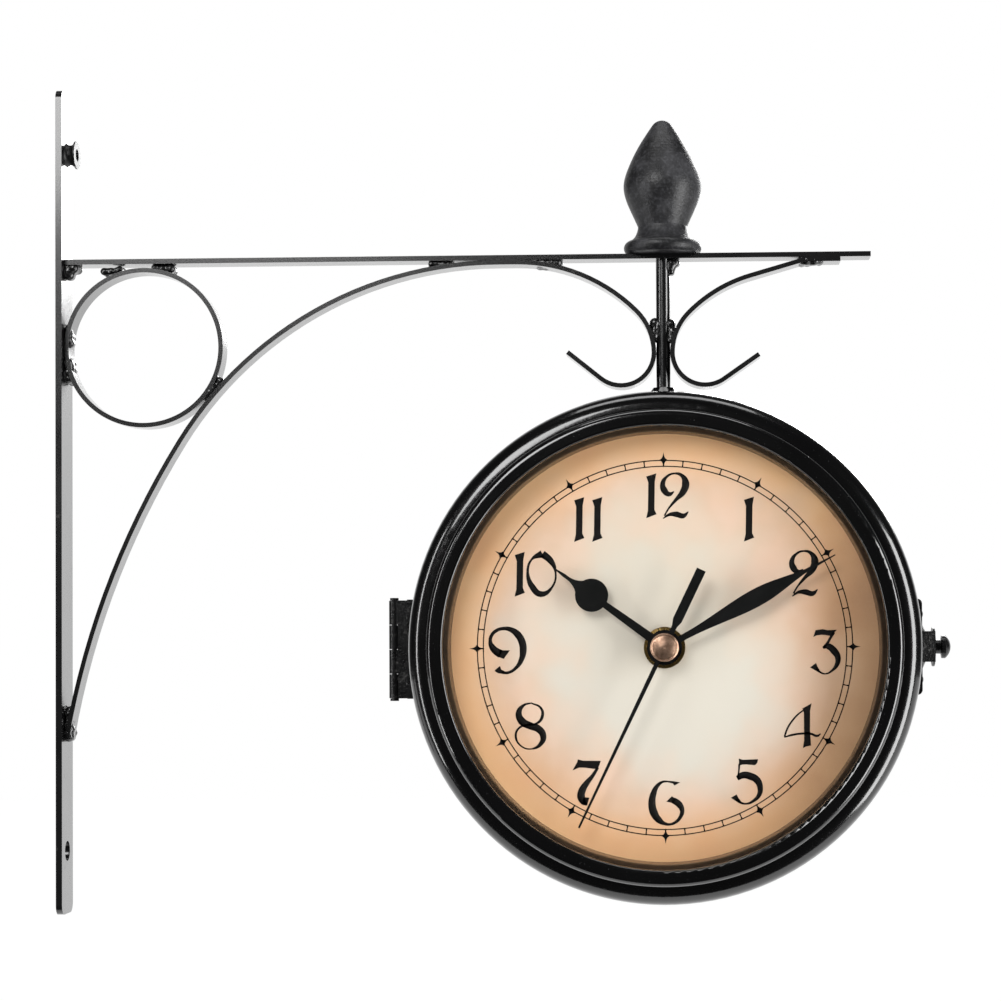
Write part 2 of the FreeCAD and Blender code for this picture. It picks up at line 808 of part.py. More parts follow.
def rivet(x_face, x_inner, y, z):
    """Round-headed rivet along X, from its outer seat to the inside of the case."""
    way = 1 if x_face > x_inner else -1
    head = rivet_head_thick
    start, end = (x_inner - way * head, x_face + way * head)
    r, big = rivet_d / 2, rivet_head_d / 2
    length = abs(end - start)
    body = turned(
        (0, 0), (big, 0), (big, head), (r, head), (r, length - head), (big, length - head),
        dome(big, length - head, head),
    )
    body.rotate(V(0, 0, 0), V(0, 1, 0), 90 * way)
    body.translate(V(start, y, z))
    return body


def hinge_rivets(side):
    y = seam_y + (rivet_setback if side == "rear" else -rivet_setback)
    rivets = []
    for s in (-1, 1):
        dz = rivet_spread / 2
        inner = math.sqrt(case_inner ** 2 - (dz + rivet_head_d / 2) ** 2)
        rivets.append(rivet(rod_x - case_radius - leaf_thick, rod_x - inner, y, head_z + s * dz))
    return rivets


# ---- latch ------------------------------------------------------------------------------
def latch_base():
    """Plate seated on the rear half, with rolled ends and a coned boss tapped for the thumb screw."""
    x0 = rod_x + case_radius
    y0 = seam_y + 2 * seam_bead + 0.4
    y1 = y0 + latch_depth
    low, high = head_z - latch_height / 2, head_z + latch_height / 2
    plate = block(x0 - 4, x0 + latch_thick, y0, y1, low, high)
    rolls = [rod_along_y(latch_roll_d, y0, y1, x0 + latch_thick - latch_roll_d / 2, z) for z in (low, high)]
    boss = turned(
        (0, 0), (latch_boss_d / 2, 0), (latch_boss_d / 2 - 1.2, 0.9),
        (latch_boss_top_d / 2, latch_boss_rise), (0, latch_boss_rise),
    )
    boss.rotate(V(0, 0, 0), V(0, 1, 0), 90)
    boss.translate(V(x0 + latch_thick, latch_axis_y, head_z))
    boss = boss.common(block(x0, x0 + 20, y0, y1, low, high))
    base = plate.fuse(rolls + [boss]).cut(drum(case_radius))
    base = base.cut(rod_along_x(screw_d + 2 * screw_clearance, x0 - 9, x0 + 20, latch_axis_y, head_z))
    return base.cut(latch_rivet_shanks()).removeSplitter()


def latch_rivet_shanks():
    x0 = rod_x + case_inner - 3
    y = latch_axis_y
    return [
        rod_along_x(rivet_d, x0, rod_x + case_radius + latch_thick, y, head_z + s * rivet_spread / 2)
        for s in (-1, 1)
    ]


def latch_rivets():
    y = latch_axis_y
    dz = rivet_spread / 2
    inner = math.sqrt(case_inner ** 2 - (dz + rivet_head_d / 2) ** 2)
    return [rivet(rod_x + case_radius + latch_thick, rod_x + inner, y, head_z + s * dz) for s in (-1, 1)]


def thumb_screw():
    """Thumb screw: shank in the boss, clamping disc, neck and domed knob."""
    start = case_radius + 0.6
    knob_u = disc_u + screw_disc_thick + screw_neck_length
    knob = screw_knob_d / 2
    end = knob_u + screw_knob_length
    body = turned(
        (0, start),
        (screw_d / 2, start),
        (screw_d / 2, disc_u),
        (screw_disc_d / 2, disc_u),
        (screw_disc_d / 2, disc_u + screw_disc_thick * 0.6),
        (screw_neck_d / 2, disc_u + screw_disc_thick),
        (screw_neck_d / 2, knob_u),
        (knob, knob_u + 0.4),
        (knob, knob_u + 1.8),
        dome(knob, knob_u + 1.8, end - knob_u - 1.8),
    )
    body.rotate(V(0, 0, 0), V(0, 1, 0), 90)
    body.translate(V(rod_x, latch_axis_y, head_z))
    return body


def latch_tongue():
    """Joggled strip riveted to the front half, whose fork slides over the thumb screw's shank."""
    y_screw = latch_axis_y
    half = tongue_height / 2
    u, t = tongue_u, tongue_thick
    foot_y = seam_y - 2 * seam_bead - 3.5
    x0 = rod_x + case_radius
    strip = outline(
        flat_xy,
        (x0 - 2, foot_y - tongue_foot), (x0 + t, foot_y - tongue_foot), (x0 + t, foot_y - t),
        (rod_x + u + t, foot_y), (rod_x + u + t, y_screw + tongue_lap), (rod_x + u, y_screw + tongue_lap),
        (rod_x + u, foot_y + t * 0.6), (x0 + 1.2 * t, foot_y + t), (x0 - 2, foot_y + t),
    ).extrude(V(0, 0, tongue_height))
    strip.translate(V(0, 0, head_z - half))
    strip = strip.cut(drum(case_radius))
    slot = screw_d / 2 + tongue_slot_gap
    fork = block(rod_x + u - 1, rod_x + u + t + 1, y_screw, y_screw + 2 * tongue_lap, head_z - slot, head_z + slot)
    fork = fork.fuse(rod_along_x(2 * slot, rod_x + u - 1, rod_x + u + t + 1, y_screw, head_z))
    return strip.cut(fork).cut(tongue_rivet_shanks()).removeSplitter()


def tongue_rivet_y():
    return seam_y - 2 * seam_bead - 3.5 - tongue_foot / 2


def tongue_rivet_shanks():
    x0 = rod_x + case_inner - 3
    return [rod_along_x(rivet_d, x0, rod_x + case_radius + tongue_thick, tongue_rivet_y(), head_z)]


def tongue_rivets():
    inner = math.sqrt(case_inner ** 2 - (rivet_head_d / 2) ** 2)
    return [rivet(rod_x + case_radius + tongue_thick, rod_x + inner, tongue_rivet_y(), head_z)]


# ---- movement and hands, drawn on the dial ----------------------------------------------
def movement_housing():
    """Moulded box behind the dial with a threaded neck, a battery bay and a hole for the setting knob."""
    half = movement_side / 2
    top = -dial_thick
    box = block(-half, half, -half, half, movement_back, top)
    upright = [
        e for e in box.Edges
        if abs(e.Vertexes[0].Z - e.Vertexes[1].Z) > movement_depth / 2
    ]
    box = box.makeFillet(movement_corner, upright)
    neck = rod(neck_d, top, neck_rise)
    bay_r = battery_d / 2 + battery_room
    bay_half = battery_length / 2 + battery_nub + contact_thick + battery_room
    bay_z = movement_back + bay_r
    bay = rod_along_x(2 * bay_r, -bay_half, bay_half, -battery_drop, bay_z)
    mouth = block(-bay_half, bay_half, -battery_drop - bay_r, -battery_drop + bay_r, movement_back - 1, bay_z)
    box = box.fuse(neck).cut([bay, mouth])
    box = box.cut(rod(hour_pipe_d + 2 * pipe_clearance, -pipe_depth - 0.5, neck_rise + 1))
    shaft_d = knob_shaft_d + 2 * pipe_clearance
    box = box.cut(rod(shaft_d, movement_back - 1, movement_back + knob_shaft_depth + 0.3, 0, knob_up))
    return box.removeSplitter()


def battery():
    """Round cell lying in the bay, with its raised contact."""
    z = movement_back + battery_d / 2 + battery_room
    half = battery_length / 2
    can = rod_along_x(battery_d, -half, half, -battery_drop, z)
    nub = rod_along_x(battery_nub_d, half, half + battery_nub, -battery_drop, z)
    return can.fuse(nub).removeSplitter()


def battery_contacts():
    """Sprung plate at each end of the bay."""
    z = movement_back + battery_d / 2 + battery_room
    half = battery_length / 2
    end = half + battery_nub + contact_thick + battery_room
    w = contact_width / 2
    plates = []
    for x0, x1 in ((-end, -end + contact_thick), (end - contact_thick, end)):
        plates.append(block(x0, x1, -battery_drop - w, -battery_drop + w, z - w, z + w))
    return Part.makeCompound(plates)


def setting_knob():
    """Ribbed thumb wheel at the back of the movement, on its shaft."""
    back = movement_back - 0.4
    wheel = rod(knob_d, back - knob_thick, back, 0, knob_up)
    grooves = []
    for i in range(knob_ribs):
        x, y = polar(knob_d / 2, 360 * i / knob_ribs)
        grooves.append(rod(knob_rib_d, back - knob_thick - 1, back + 1, x, y + knob_up))
    wheel = wheel.cut(grooves)
    shaft = rod(knob_shaft_d, back, movement_back + knob_shaft_depth, 0, knob_up)
    return wheel.fuse(shaft).removeSplitter()


def hub_nut():
    """Brass flanged nut on the movement's neck, clamping the dial."""
    flange = rod(hub_nut_flange_d, 0, hub_nut_flange_thick)
    body = hexagon(hub_nut_flats, hub_nut_flange_thick, hub_nut_thick)
    return flange.fuse(body).cut(rod(neck_d, -1, hub_nut_thick + 1)).removeSplitter()


def hour_pipe():
    tube = rod(hour_pipe_d, -pipe_depth, hour_plane + hand_thick + 0.3)
    return tube.cut(rod(minute_pipe_d + 2 * pipe_clearance, -pipe_depth - 1, hour_plane + 9))


def minute_pipe():
    tube = rod(minute_pipe_d, -pipe_depth, minute_plane + hand_thick + 0.3)
    return tube.cut(rod(arbor_d + 2 * pipe_clearance, -pipe_depth - 1, minute_plane + 9))


def second_arbor():
    return rod(arbor_d, -pipe_depth, second_plane + hand_thick)


def spade(points, length, tip):
    """Half of a blade as a smooth curve through its half widths, then a straight taper to the tip."""
    curve = Part.BSplineCurve()
    curve.interpolate([V(w, at, 0) for at, w in points])
    left = curve.toShape()
    right = left.mirror(V(0, 0, 0), V(1, 0, 0))
    at0, w0 = points[0]
    at1, w1 = points[-1]
    corners = [V(w1, at1, 0), V(tip, length, 0), V(-tip, length, 0), V(-w1, at1, 0)]
    edges = [left, right, Part.LineSegment(V(w0, at0, 0), V(-w0, at0, 0)).toShape()]
    edges += [Part.LineSegment(a, b).toShape() for a, b in zip(corners, corners[1:])]
    return Part.Face(Part.Wire(Part.__sortEdges__(edges)))


def hour_hand():
    """Hand with a round bulb and a hollow-sided point."""
    eye = Part.Face(Part.Wire(Part.makeCircle(hour_eye_d / 2)))
    bulb = Part.Face(Part.Wire(Part.makeCircle(hour_bulb_r, V(0, hour_bulb_at, 0))))
    root, waist = hour_root_width / 2, hour_waist_width / 2
    stem = spade([(0, root), (hour_bulb_at * 0.5, (root + waist) / 2), (hour_bulb_at * 0.8, waist)],
                 hour_bulb_at, waist)
    x, y = polar(hour_bulb_r, 35)
    point = spade(
        [(hour_bulb_at + y, x), (hour_bulb_at + hour_bulb_r * 1.2, waist * 1.15),
         (hour_length * 0.9, waist * 0.55)],
        hour_length, 0.15,
    )
    face = eye.fuse([bulb, stem, point]).removeSplitter()
    plate = moved(face, z=hour_plane).extrude(V(0, 0, hand_thick))
    collet = rod(hour_pipe_d + 3, hour_plane - 0.6, hour_plane)
    return to_clock(plate.fuse(collet).cut(rod(hour_pipe_d, 0, 20)).removeSplitter(), hour_angle)


def minute_hand():
    """Long blade that swells past its middle and ends in a needle."""
    eye = Part.Face(Part.Wire(Part.makeCircle(hand_eye_d / 2)))
    root, belly, needle = minute_root_width / 2, minute_belly_width / 2, minute_needle_width / 2
    blade = spade(
        [(0, root), (minute_belly_at * 0.5, root * 1.25), (minute_belly_at, belly),
         ((minute_belly_at + minute_needle_at) / 2 + 1.5, belly * 0.55), (minute_needle_at, needle)],
        minute_length, 0.2,
    )
    face = eye.fuse(blade).removeSplitter()
    plate = moved(face, z=minute_plane).extrude(V(0, 0, hand_thick))
    collet = rod(minute_pipe_d + 3, minute_plane - 0.6, minute_plane)
    return to_clock(plate.fuse(collet).cut(rod(minute_pipe_d, 0, 20)).removeSplitter(), minute_angle)


def second_hand():
    """Thin hand with a broad bar as its counterweight."""
    root, tip, tail = second_width / 2, second_tip_width / 2, second_tail_width / 2
    face = outline(
        flat_xy,
        (root, 0), (tip, second_length), (-tip, second_length), (-root, 0),
        (-root * 1.15, -second_tail_from + 2.5), (-tail, -second_tail_from), (-tail, -second_tail),
        (tail, -second_tail), (tail, -second_tail_from), (root * 1.15, -second_tail_from + 2.5),
    )
    eye = Part.Face(Part.Wire(Part.makeCircle(second_eye_d / 2)))
    plate = moved(face.fuse(eye).removeSplitter(), z=second_plane).extrude(V(0, 0, hand_thick))
    collet = rod(arbor_d + 2, second_plane - 0.8, second_plane)
    return to_clock(plate.fuse(collet).cut(rod(arbor_d, 0, 20)).removeSplitter(), second_angle)


def hub_cap():
    """Spun metal cap over the hands' centre."""
    low = second_plane + hand_thick
    r = hub_cap_d / 2
    return turned(
        (0, low), (r, low), (r, low + 0.7), (r - 0.6, low + 1.1), (r - 0.9, low + 0.9),
        dome(r - 0.9, low + 0.9, hub_cap_rise - 0.9),
    )


# ---- the whole clock --------------------------------------------------------------------
def write(name, shape):
    shape.exportStep("parts/" + name + ".step")


def bracket():
    arch = arch_path().bar(bar_thick, bar_width)
    scroll = front_scroll_path().bar(bar_thick, bar_width)
    plate, arm, ring, shaft = wall_plate(), top_arm(), brace_ring(), hanger_rod()
    write("wall_plate", plate)
    write("wall_bush", wall_bush())
    write("top_arm", arm)
    write("brace_ring", ring)
    write("arch_strip", arch)
    write("front_scroll", scroll)
    write("hanger_rod", shaft)
    write("weld_beads", weld_beads([plate, arm, ring, arch, scroll, shaft]))
    write("finial", finial())
    write("thrust_washer", thrust_washer())
    write("jam_nuts", jam_nuts())


def head():
    rear = to_face(case_half(rear_seam, True), "rear")
    rear = rear.cut(roof_tools() + hinge_rivet_shanks("rear") + latch_rivet_shanks())
    front = to_face(case_half(front_seam, False), "front")
    front = front.cut(hinge_rivet_shanks("front") + tongue_rivet_shanks())
    write("rear_shell", rear)
    write("front_shell", front)
    write("swivel_bush", swivel_bush())
    write("bush_nut", bush_nut())
    write("rear_hinge_leaf", hinge_leaf("rear"))
    write("front_hinge_leaf", hinge_leaf("front"))
    write("hinge_pin", hinge_pin())
    write("rear_rivets", Part.makeCompound(hinge_rivets("rear") + latch_rivets()))
    write("front_rivets", Part.makeCompound(hinge_rivets("front") + tongue_rivets()))
    write("latch_base", latch_base())
    write("thumb_screw", thumb_screw())
    write("latch_tongue", latch_tongue())


def faces():
    pieces = {
        "bezel": bezel(),
        "glass": glass(),
        "spacer_ring": spacer_ring(),
        "dial": dial(),
        "dial_screws": dial_screws(),
        "movement_housing": movement_housing(),
        "battery": battery(),
        "battery_contacts": battery_contacts(),
        "setting_knob": setting_knob(),
        "hub_nut": hub_nut(),
        "hour_pipe": hour_pipe(),
        "minute_pipe": minute_pipe(),
        "second_arbor": second_arbor(),
        "hour_hand": hour_hand(),
        "minute_hand": minute_hand(),
        "second_hand": second_hand(),
        "hub_cap": hub_cap(),
    }
    for side in ("front", "rear"):
        for name, shape in pieces.items():
            write(side + "_" + name, to_face(shape, side))


bracket()
head()
faces()
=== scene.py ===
import bpy
import math
from mathutils import Matrix, Vector


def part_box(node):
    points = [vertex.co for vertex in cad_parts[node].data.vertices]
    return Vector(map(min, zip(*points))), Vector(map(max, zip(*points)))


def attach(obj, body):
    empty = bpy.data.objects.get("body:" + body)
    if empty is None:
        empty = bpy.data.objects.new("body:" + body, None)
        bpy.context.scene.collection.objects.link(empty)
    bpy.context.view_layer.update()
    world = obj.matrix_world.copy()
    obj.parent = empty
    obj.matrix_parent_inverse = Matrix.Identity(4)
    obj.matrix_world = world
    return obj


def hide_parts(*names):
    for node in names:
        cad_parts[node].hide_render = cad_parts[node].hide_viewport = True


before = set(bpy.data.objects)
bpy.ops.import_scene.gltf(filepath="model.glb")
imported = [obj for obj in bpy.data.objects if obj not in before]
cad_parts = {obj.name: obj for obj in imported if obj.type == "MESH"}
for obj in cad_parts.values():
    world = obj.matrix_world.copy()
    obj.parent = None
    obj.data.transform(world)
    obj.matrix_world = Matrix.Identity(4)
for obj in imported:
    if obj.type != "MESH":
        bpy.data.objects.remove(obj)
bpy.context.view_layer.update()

# ---- the room and the camera ------------------------------------------------------------
# The clock hangs before a plain white sweep, in a white tent with soft panels at the upper
# left, the right, the left, above and behind. The camera stands a metre away, low and right
# of the middle, and looks a little left and up.
MM = 0.001
eye = Vector((247.8, -1000, -65.8)) * MM
look_left = math.radians(2.0)
look_up = math.radians(1.2)
roll = math.radians(0.30)
picture_width = 399.0 * MM
picture_middle = Vector((176.9, 0, -1.0)) * MM
distance = -eye.y
sensor_width = 36           # in millimetres, as the lens is
nearest = 0.01
farthest = 50

bpy.ops.object.camera_add(location=eye, rotation=(math.radians(90) + look_up, roll, look_left))
camera = bpy.context.object
camera.data.sensor_width = sensor_width
camera.data.lens = sensor_width * distance / picture_width
camera.data.shift_x = (picture_middle.x - eye.x + distance * math.tan(look_left)) / picture_width
camera.data.shift_y = (picture_middle.z - eye.z - distance * math.tan(look_up)) / picture_width
camera.data.clip_start = nearest
camera.data.clip_end = farthest
bpy.context.scene.camera = camera


def soft_panel(name, place, aim, width, height, power):
    """An oblong lamp at place that faces aim, with its sides in metres and its power in watts."""
    bpy.ops.object.light_add(type="AREA", location=place)
    lamp = bpy.context.object
    lamp.name = name
    lamp.data.shape = "RECTANGLE"
    lamp.data.size = width
    lamp.data.size_y = height
    lamp.data.energy = power
    lamp.rotation_mode = "QUATERNION"
    lamp.rotation_quaternion = (Vector(aim) - Vector(place)).to_track_quat("-Z", "Y")


soft_panel("key_left", (-0.25, -1.15, 0.60), (0.2, 0, 0), width=0.60, height=0.55, power=8.5)
soft_panel("panel_right", (0.95, -0.36, -0.14), (0.24, 0, -0.06), width=0.30, height=0.95, power=7.5)
soft_panel("strip_left", (-0.60, -0.48, -0.05), (0.2, 0, -0.06), width=0.10, height=0.90, power=2.6)
soft_panel("key_behind", (0.62, 1.20, 0.55), (0.25, 0, 0), width=0.60, height=0.55, power=12.0)
soft_panel("top_panel", (0.25, -0.10, 1.00), (0.25, 0, 0), width=0.80, height=0.30, power=2.6)

world = bpy.data.worlds.new("studio")
bpy.context.scene.world = world
world.use_nodes = True
studio = world.node_tree
studio.nodes.clear()


def wire(tree, kind, operation, *sources):
    """Adds a node to a tree, and feeds its inputs in turn with sockets or numbers."""
    node = tree.nodes.new(kind)
    if operation:
        node.operation = operation
    for socket, source in zip(node.inputs, sources):
        if isinstance(source, (int, float)):
            socket.default_value = source
        else:
            tree.links.new(source, socket)
    return node.outputs[0]


# The camera sees plain white, straight or through glass. A mirror finish sees the white
# sweep behind the clock, and elsewhere a dim room. A matt one is lit by the tent.
sweep_light = 1.0
room_light = 0.035
tent_light = 0.38
sweep_fades = 0.5           # as far as a direction leans towards the sweep, up to 1
sweep_full = 0.9
looking = studio.nodes.new("ShaderNodeTexCoord")
direction = studio.nodes.new("ShaderNodeSeparateXYZ")
studio.links.new(looking.outputs["Generated"], direction.inputs[0])
behind = studio.nodes.new("ShaderNodeMapRange")
behind.interpolation_type = "SMOOTHSTEP"
studio.links.new(direction.outputs["Y"], behind.inputs["Value"])
behind.inputs["From Min"].default_value = sweep_fades
behind.inputs["From Max"].default_value = sweep_full
behind.inputs["To Min"].default_value = room_light
behind.inputs["To Max"].default_value = sweep_light
rays = studio.nodes.new("ShaderNodeLightPath").outputs
strength = rays["Is Camera Ray"]
mirrored = wire(studio, "ShaderNodeMath", "MULTIPLY", rays["Is Glossy Ray"], behind.outputs[0])
diffuse = wire(studio, "ShaderNodeMath", "MULTIPLY", rays["Is Diffuse Ray"], tent_light)
for light in (rays["Is Transmission Ray"], mirrored, diffuse):
    strength = wire(studio, "ShaderNodeMath", "MAXIMUM", strength, light)
white = studio.nodes.new("ShaderNodeBackground")
white.inputs["Color"].default_value = (1, 1, 1, 1)
studio.links.new(strength, white.inputs["Strength"])
sky = studio.nodes.new("ShaderNodeOutputWorld")
studio.links.new(white.outputs[0], sky.inputs["Surface"])
bpy.context.scene.view_settings.view_transform = "Standard"

# The floor's paper glows for the camera, so that it ends in the same white as the sweep, and
# keeps a share of its matt self, which takes the shadow.
floor_height = -0.75
floor_front = -0.35
floor_middle = 0.2
floor_side = 12
floor_tone = 0.8
floor_glow = 1.31
glow_share = 0.7
bpy.ops.mesh.primitive_plane_add(size=1)
floor = bpy.context.object
floor.name = "floor"
floor.data.transform(
    Matrix.Translation((floor_middle, floor_front + floor_side / 2, floor_height))
    @ Matrix.Diagonal((floor_side, floor_side, 1, 1))
)
pale = bpy.data.materials.new("pale_floor")
pale.use_nodes = True
paper = pale.node_tree
paper.nodes.clear()
matt = paper.nodes.new("ShaderNodeBsdfDiffuse")
matt.inputs["Color"].default_value = (floor_tone, floor_tone, floor_tone, 1)
bright = paper.nodes.new("ShaderNodeEmission")
bright.inputs["Color"].default_value = (1, 1, 1, 1)
bright.inputs["Strength"].default_value = floor_glow
rays = paper.nodes.new("ShaderNodeLightPath").outputs
share = rays["Is Camera Ray"]
for ray in ("Is Glossy Ray", "Is Transmission Ray"):
    share = wire(paper, "ShaderNodeMath", "MAXIMUM", share, rays[ray])
share = wire(paper, "ShaderNodeMath", "MULTIPLY", share, glow_share)
cover = paper.nodes.new("ShaderNodeMixShader")
paper.links.new(share, cover.inputs[0])
paper.links.new(matt.outputs[0], cover.inputs[1])
paper.links.new(bright.outputs[0], cover.inputs[2])
face = paper.nodes.new("ShaderNodeOutputMaterial")
paper.links.new(cover.outputs[0], face.inputs["Surface"])
floor.data.materials.append(pale)

# ---- wall plate, arm, ring and scrolls --------------------------------------------------
# Mild steel flat bar, bent cold and welded, then dipped in black paint that dries to a
# semi-gloss. The coat is a little thin along the edges, with a fine grain and faint runs.


def paint(red, green, blue):
    """A colour as it is seen on a screen, 0 to 255, as the light value that a shader takes."""
    shares = [c / 255 for c in (red, green, blue)]
    return tuple(c / 12.92 if c < 0.04045 else ((c + 0.055) / 1.055) ** 2.4 for c in shares) + (1,)


class Wire:
    """One value that runs through a finish. Arithmetic on it adds Math nodes."""

    def __init__(self, finish, socket):
        self.finish = finish
        self.socket = socket

    def math(self, operation, *values):
        return self.finish.add("ShaderNodeMath", {"operation": operation}, dict(enumerate(values)))

    def __add__(self, other):
        return self.math("ADD", self, other)

    def __sub__(self, other):
        return self.math("SUBTRACT", self, other)

    def __mul__(self, other):
        return self.math("MULTIPLY", self, other)

    def __truediv__(self, other):
        return self.math("DIVIDE", self, other)

    def __pow__(self, other):
        return self.math("POWER", self, other)

    def __radd__(self, other):
        return self.math("ADD", other, self)

    def __rsub__(self, other):
        return self.math("SUBTRACT", other, self)

    def __rmul__(self, other):
        return self.math("MULTIPLY", other, self)

    def wave(self):
        return self.math("SINE", self)

    def least(self, other):
        return self.math("MINIMUM", self, other)

    def rise(self, low, high):
        """Smooth step from 0 at low to 1 at high."""
        inputs = {"Value": self, "From Min": low, "From Max": high}
        return self.finish.add("ShaderNodeMapRange", {"interpolation_type": "SMOOTHSTEP"}, inputs)


class Finish:
    """A material in the making, on Object coordinates."""

    def __init__(self, name, centre=(0, 0, 0)):
        self.material = bpy.data.materials.new(name)
        self.material.use_nodes = True
        self.tree = self.material.node_tree
        self.tree.nodes.clear()
        place = self.add("ShaderNodeTexCoord", output="Object")
        self.place = self.add("ShaderNodeMapping", {"vector_type": "POINT"}, {
            "Vector": place,
            "Location": [-c for c in centre],
        })

    def add(self, kind, settings=None, inputs=None, output=0):
        node = self.tree.nodes.new(kind)
        for key, value in (settings or {}).items():
            setattr(node, key, value)
        for key, value in (inputs or {}).items():
            if isinstance(value, Wire):
                self.tree.links.new(value.socket, node.inputs[key])
            else:
                node.inputs[key].default_value = value
        return Wire(self, node.outputs[output])

    def noise(self, size, detail):
        """Cloudy noise from 0 to 1 with features of this size in metres."""
        inputs = {"Vector": self.place, "Scale": 1 / size, "Detail": detail}
        return self.add("ShaderNodeTexNoise", {}, inputs)

    def cells(self, size):
        """Crystals of this size in metres, from 0 in their middles."""
        return self.add("ShaderNodeTexVoronoi", {}, {"Vector": self.place, "Scale": 1 / size})

    def axes(self):
        """x, y and z from the finish's centre, in metres."""
        return [self.add("ShaderNodeSeparateXYZ", {}, {0: self.place}, i) for i in range(3)]

    def blend(self, share, first, second):
        """From the first colour, at share 0, to the second, at share 1."""
        inputs = {0: share, 6: first, 7: second}
        return self.add("ShaderNodeMix", {"data_type": "RGBA"}, inputs, output=2)

    def bump(self, height, depth):
        """A relief of this depth in metres."""
        return self.add("ShaderNodeBump", {}, {"Height": height, "Distance": depth})

    def surface(self, **sockets):
        names = [key.replace("_", " ").title().replace("Ior", "IOR") for key in sockets]
        shader = self.add("ShaderNodeBsdfPrincipled", {}, dict(zip(names, sockets.values())))
        self.add_output(shader)
        return self.material

    def add_output(self, shader):
        node = self.tree.nodes.new("ShaderNodeOutputMaterial")
        self.tree.links.new(shader.socket, node.inputs["Surface"])


def dress(material, *nodes):
    """Give CAD nodes their finish."""
    for name in nodes:
        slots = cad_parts[name].data.materials
        for i in range(len(slots)):
            slots[i] = material


def black_bar_paint():
    f = Finish("black_bar_paint")
    cloud = f.noise(size=0.02, detail=3)
    grain = f.noise(size=0.0011, detail=2)
    runs = f.noise(size=0.006, detail=2)
    rubbed = f.noise(size=0.004, detail=6).rise(0.66, 0.74) * cloud
    base = f.blend(cloud, paint(3, 3, 4), paint(11, 11, 12))
    return f.surface(
        base_color=f.blend(rubbed, base, paint(44, 41, 38)),
        roughness=0.20 + 0.14 * cloud + 0.25 * rubbed,
        coat_weight=1.0,
        coat_roughness=0.12,
        normal=f.bump(grain * 0.3 + runs, depth=0.00001),
    )


dress(
    black_bar_paint(), "wall_plate", "top_arm", "brace_ring", "arch_strip", "front_scroll",
    "hanger_rod",
)

# ---- upper hole's spool -----------------------------------------------------------------
# A moulded black spool pushed into the wall plate's upper hole, so that the screw's head
# has something to bear on. Matt, with the sheen of handled nylon on its rim.


def moulded_black(name, light, rough):
    """Black plastic of this lightness, 0 to 255, and roughness."""
    f = Finish(name)
    grain = f.noise(size=0.0006, detail=3)
    cloud = f.noise(size=0.012, detail=2)
    pale = light + 12
    return f.surface(
        base_color=f.blend(cloud, paint(light, light, light), paint(pale, pale, pale + 1)),
        roughness=rough + 0.12 * cloud,
        normal=f.bump(grain, depth=0.00005),
    )


dress(moulded_black("spool_nylon", light=8, rough=0.38), "wall_bush")

# ---- finial -----------------------------------------------------------------------------
# Turned from one piece of hardwood, sanded, and sprayed satin black, so that fine turning
# lines and a little of the grain stay under the coat. Grey blotches and specks are painted
# into its colour as the coat's sheen; the blotches are also a little rougher.
turning_rate = 5200         # radians of the turned ripple in each metre of height


def satin_wood():
    f = Finish("satin_black_wood", centre=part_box("finial")[0].lerp(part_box("finial")[1], 0.5))
    _, _, height = f.axes()
    cloud = f.noise(size=0.011, detail=5)
    speck = f.noise(size=0.0012, detail=3)
    lines = (height * turning_rate + f.noise(size=0.006, detail=2) * 5).wave()
    bloom = cloud.rise(0.38, 0.72)
    # Grey blotches and specks, painted into the colour as the satin coat's sheen.
    painted_sheen = (bloom * 0.7 + speck.rise(0.45, 0.7) * 0.5).least(1.0)
    return f.surface(
        base_color=f.blend(painted_sheen, paint(18, 18, 20), paint(62, 62, 65)),
        roughness=0.42 + 0.16 * bloom,
        normal=f.bump(0.04 * lines + speck * 0.6 + cloud * 0.9, depth=0.00018),
    )


dress(satin_wood(), "finial")

# ---- case halves ------------------------------------------------------------------------
# Two halves pressed from thin steel sheet, with a rolled edge where they meet, sprayed
# with black gloss enamel that shows the fine pitting of a single sprayed coat.


def black_enamel(name, pit, depth, light):
    """Gloss black of this lightness, with pits of this width and depth in metres."""
    f = Finish(name)
    cloud = f.noise(size=0.03, detail=3)
    peel = f.noise(size=pit, detail=2)
    dust = f.noise(size=0.0007, detail=1).rise(0.72, 0.8) * cloud
    base = f.blend(cloud, paint(light, light, light), paint(light + 5, light + 5, light + 6))
    return f.surface(
        base_color=f.blend(dust, base, paint(50, 50, 52)),
        roughness=0.12 + 0.12 * cloud + 0.2 * dust,
        coat_weight=0.8,
        coat_roughness=0.06,
        normal=f.bump(peel, depth),
    )


case_enamel = black_enamel("case_enamel", pit=0.0022, depth=0.00004, light=2)
dress(case_enamel, "rear_shell", "front_shell", "swivel_bush")

# ---- hinge and latch --------------------------------------------------------------------
# Pressed and turned steel fittings, riveted on before painting, so the coat fills their
# corners. The coat is rubbed to grey in small places by handling.


def fitting_paint():
    f = Finish("fitting_paint")
    cloud = f.noise(size=0.006, detail=4)
    grain = f.noise(size=0.0009, detail=2)
    rubbed = f.noise(size=0.0022, detail=5).rise(0.6, 0.7)
    base = f.blend(cloud, paint(3, 3, 4), paint(12, 12, 13))
    return f.surface(
        base_color=f.blend(rubbed * 0.4, base, paint(60, 58, 56)),
        roughness=0.20 + 0.18 * cloud + 0.15 * rubbed,
        normal=f.bump(grain + cloud, depth=0.00012),
    )


dress(
    fitting_paint(), "rear_hinge_leaf", "front_hinge_leaf", "hinge_pin", "rear_rivets",
    "front_rivets", "latch_base", "thumb_screw", "latch_tongue",
)

# ---- washer, nuts and screws ------------------------------------------------------------
# Zinc plated steel, seen only with the case open: pale grey with a fine crystalline bloom
# and a darker cast where a spanner or driver has gripped.


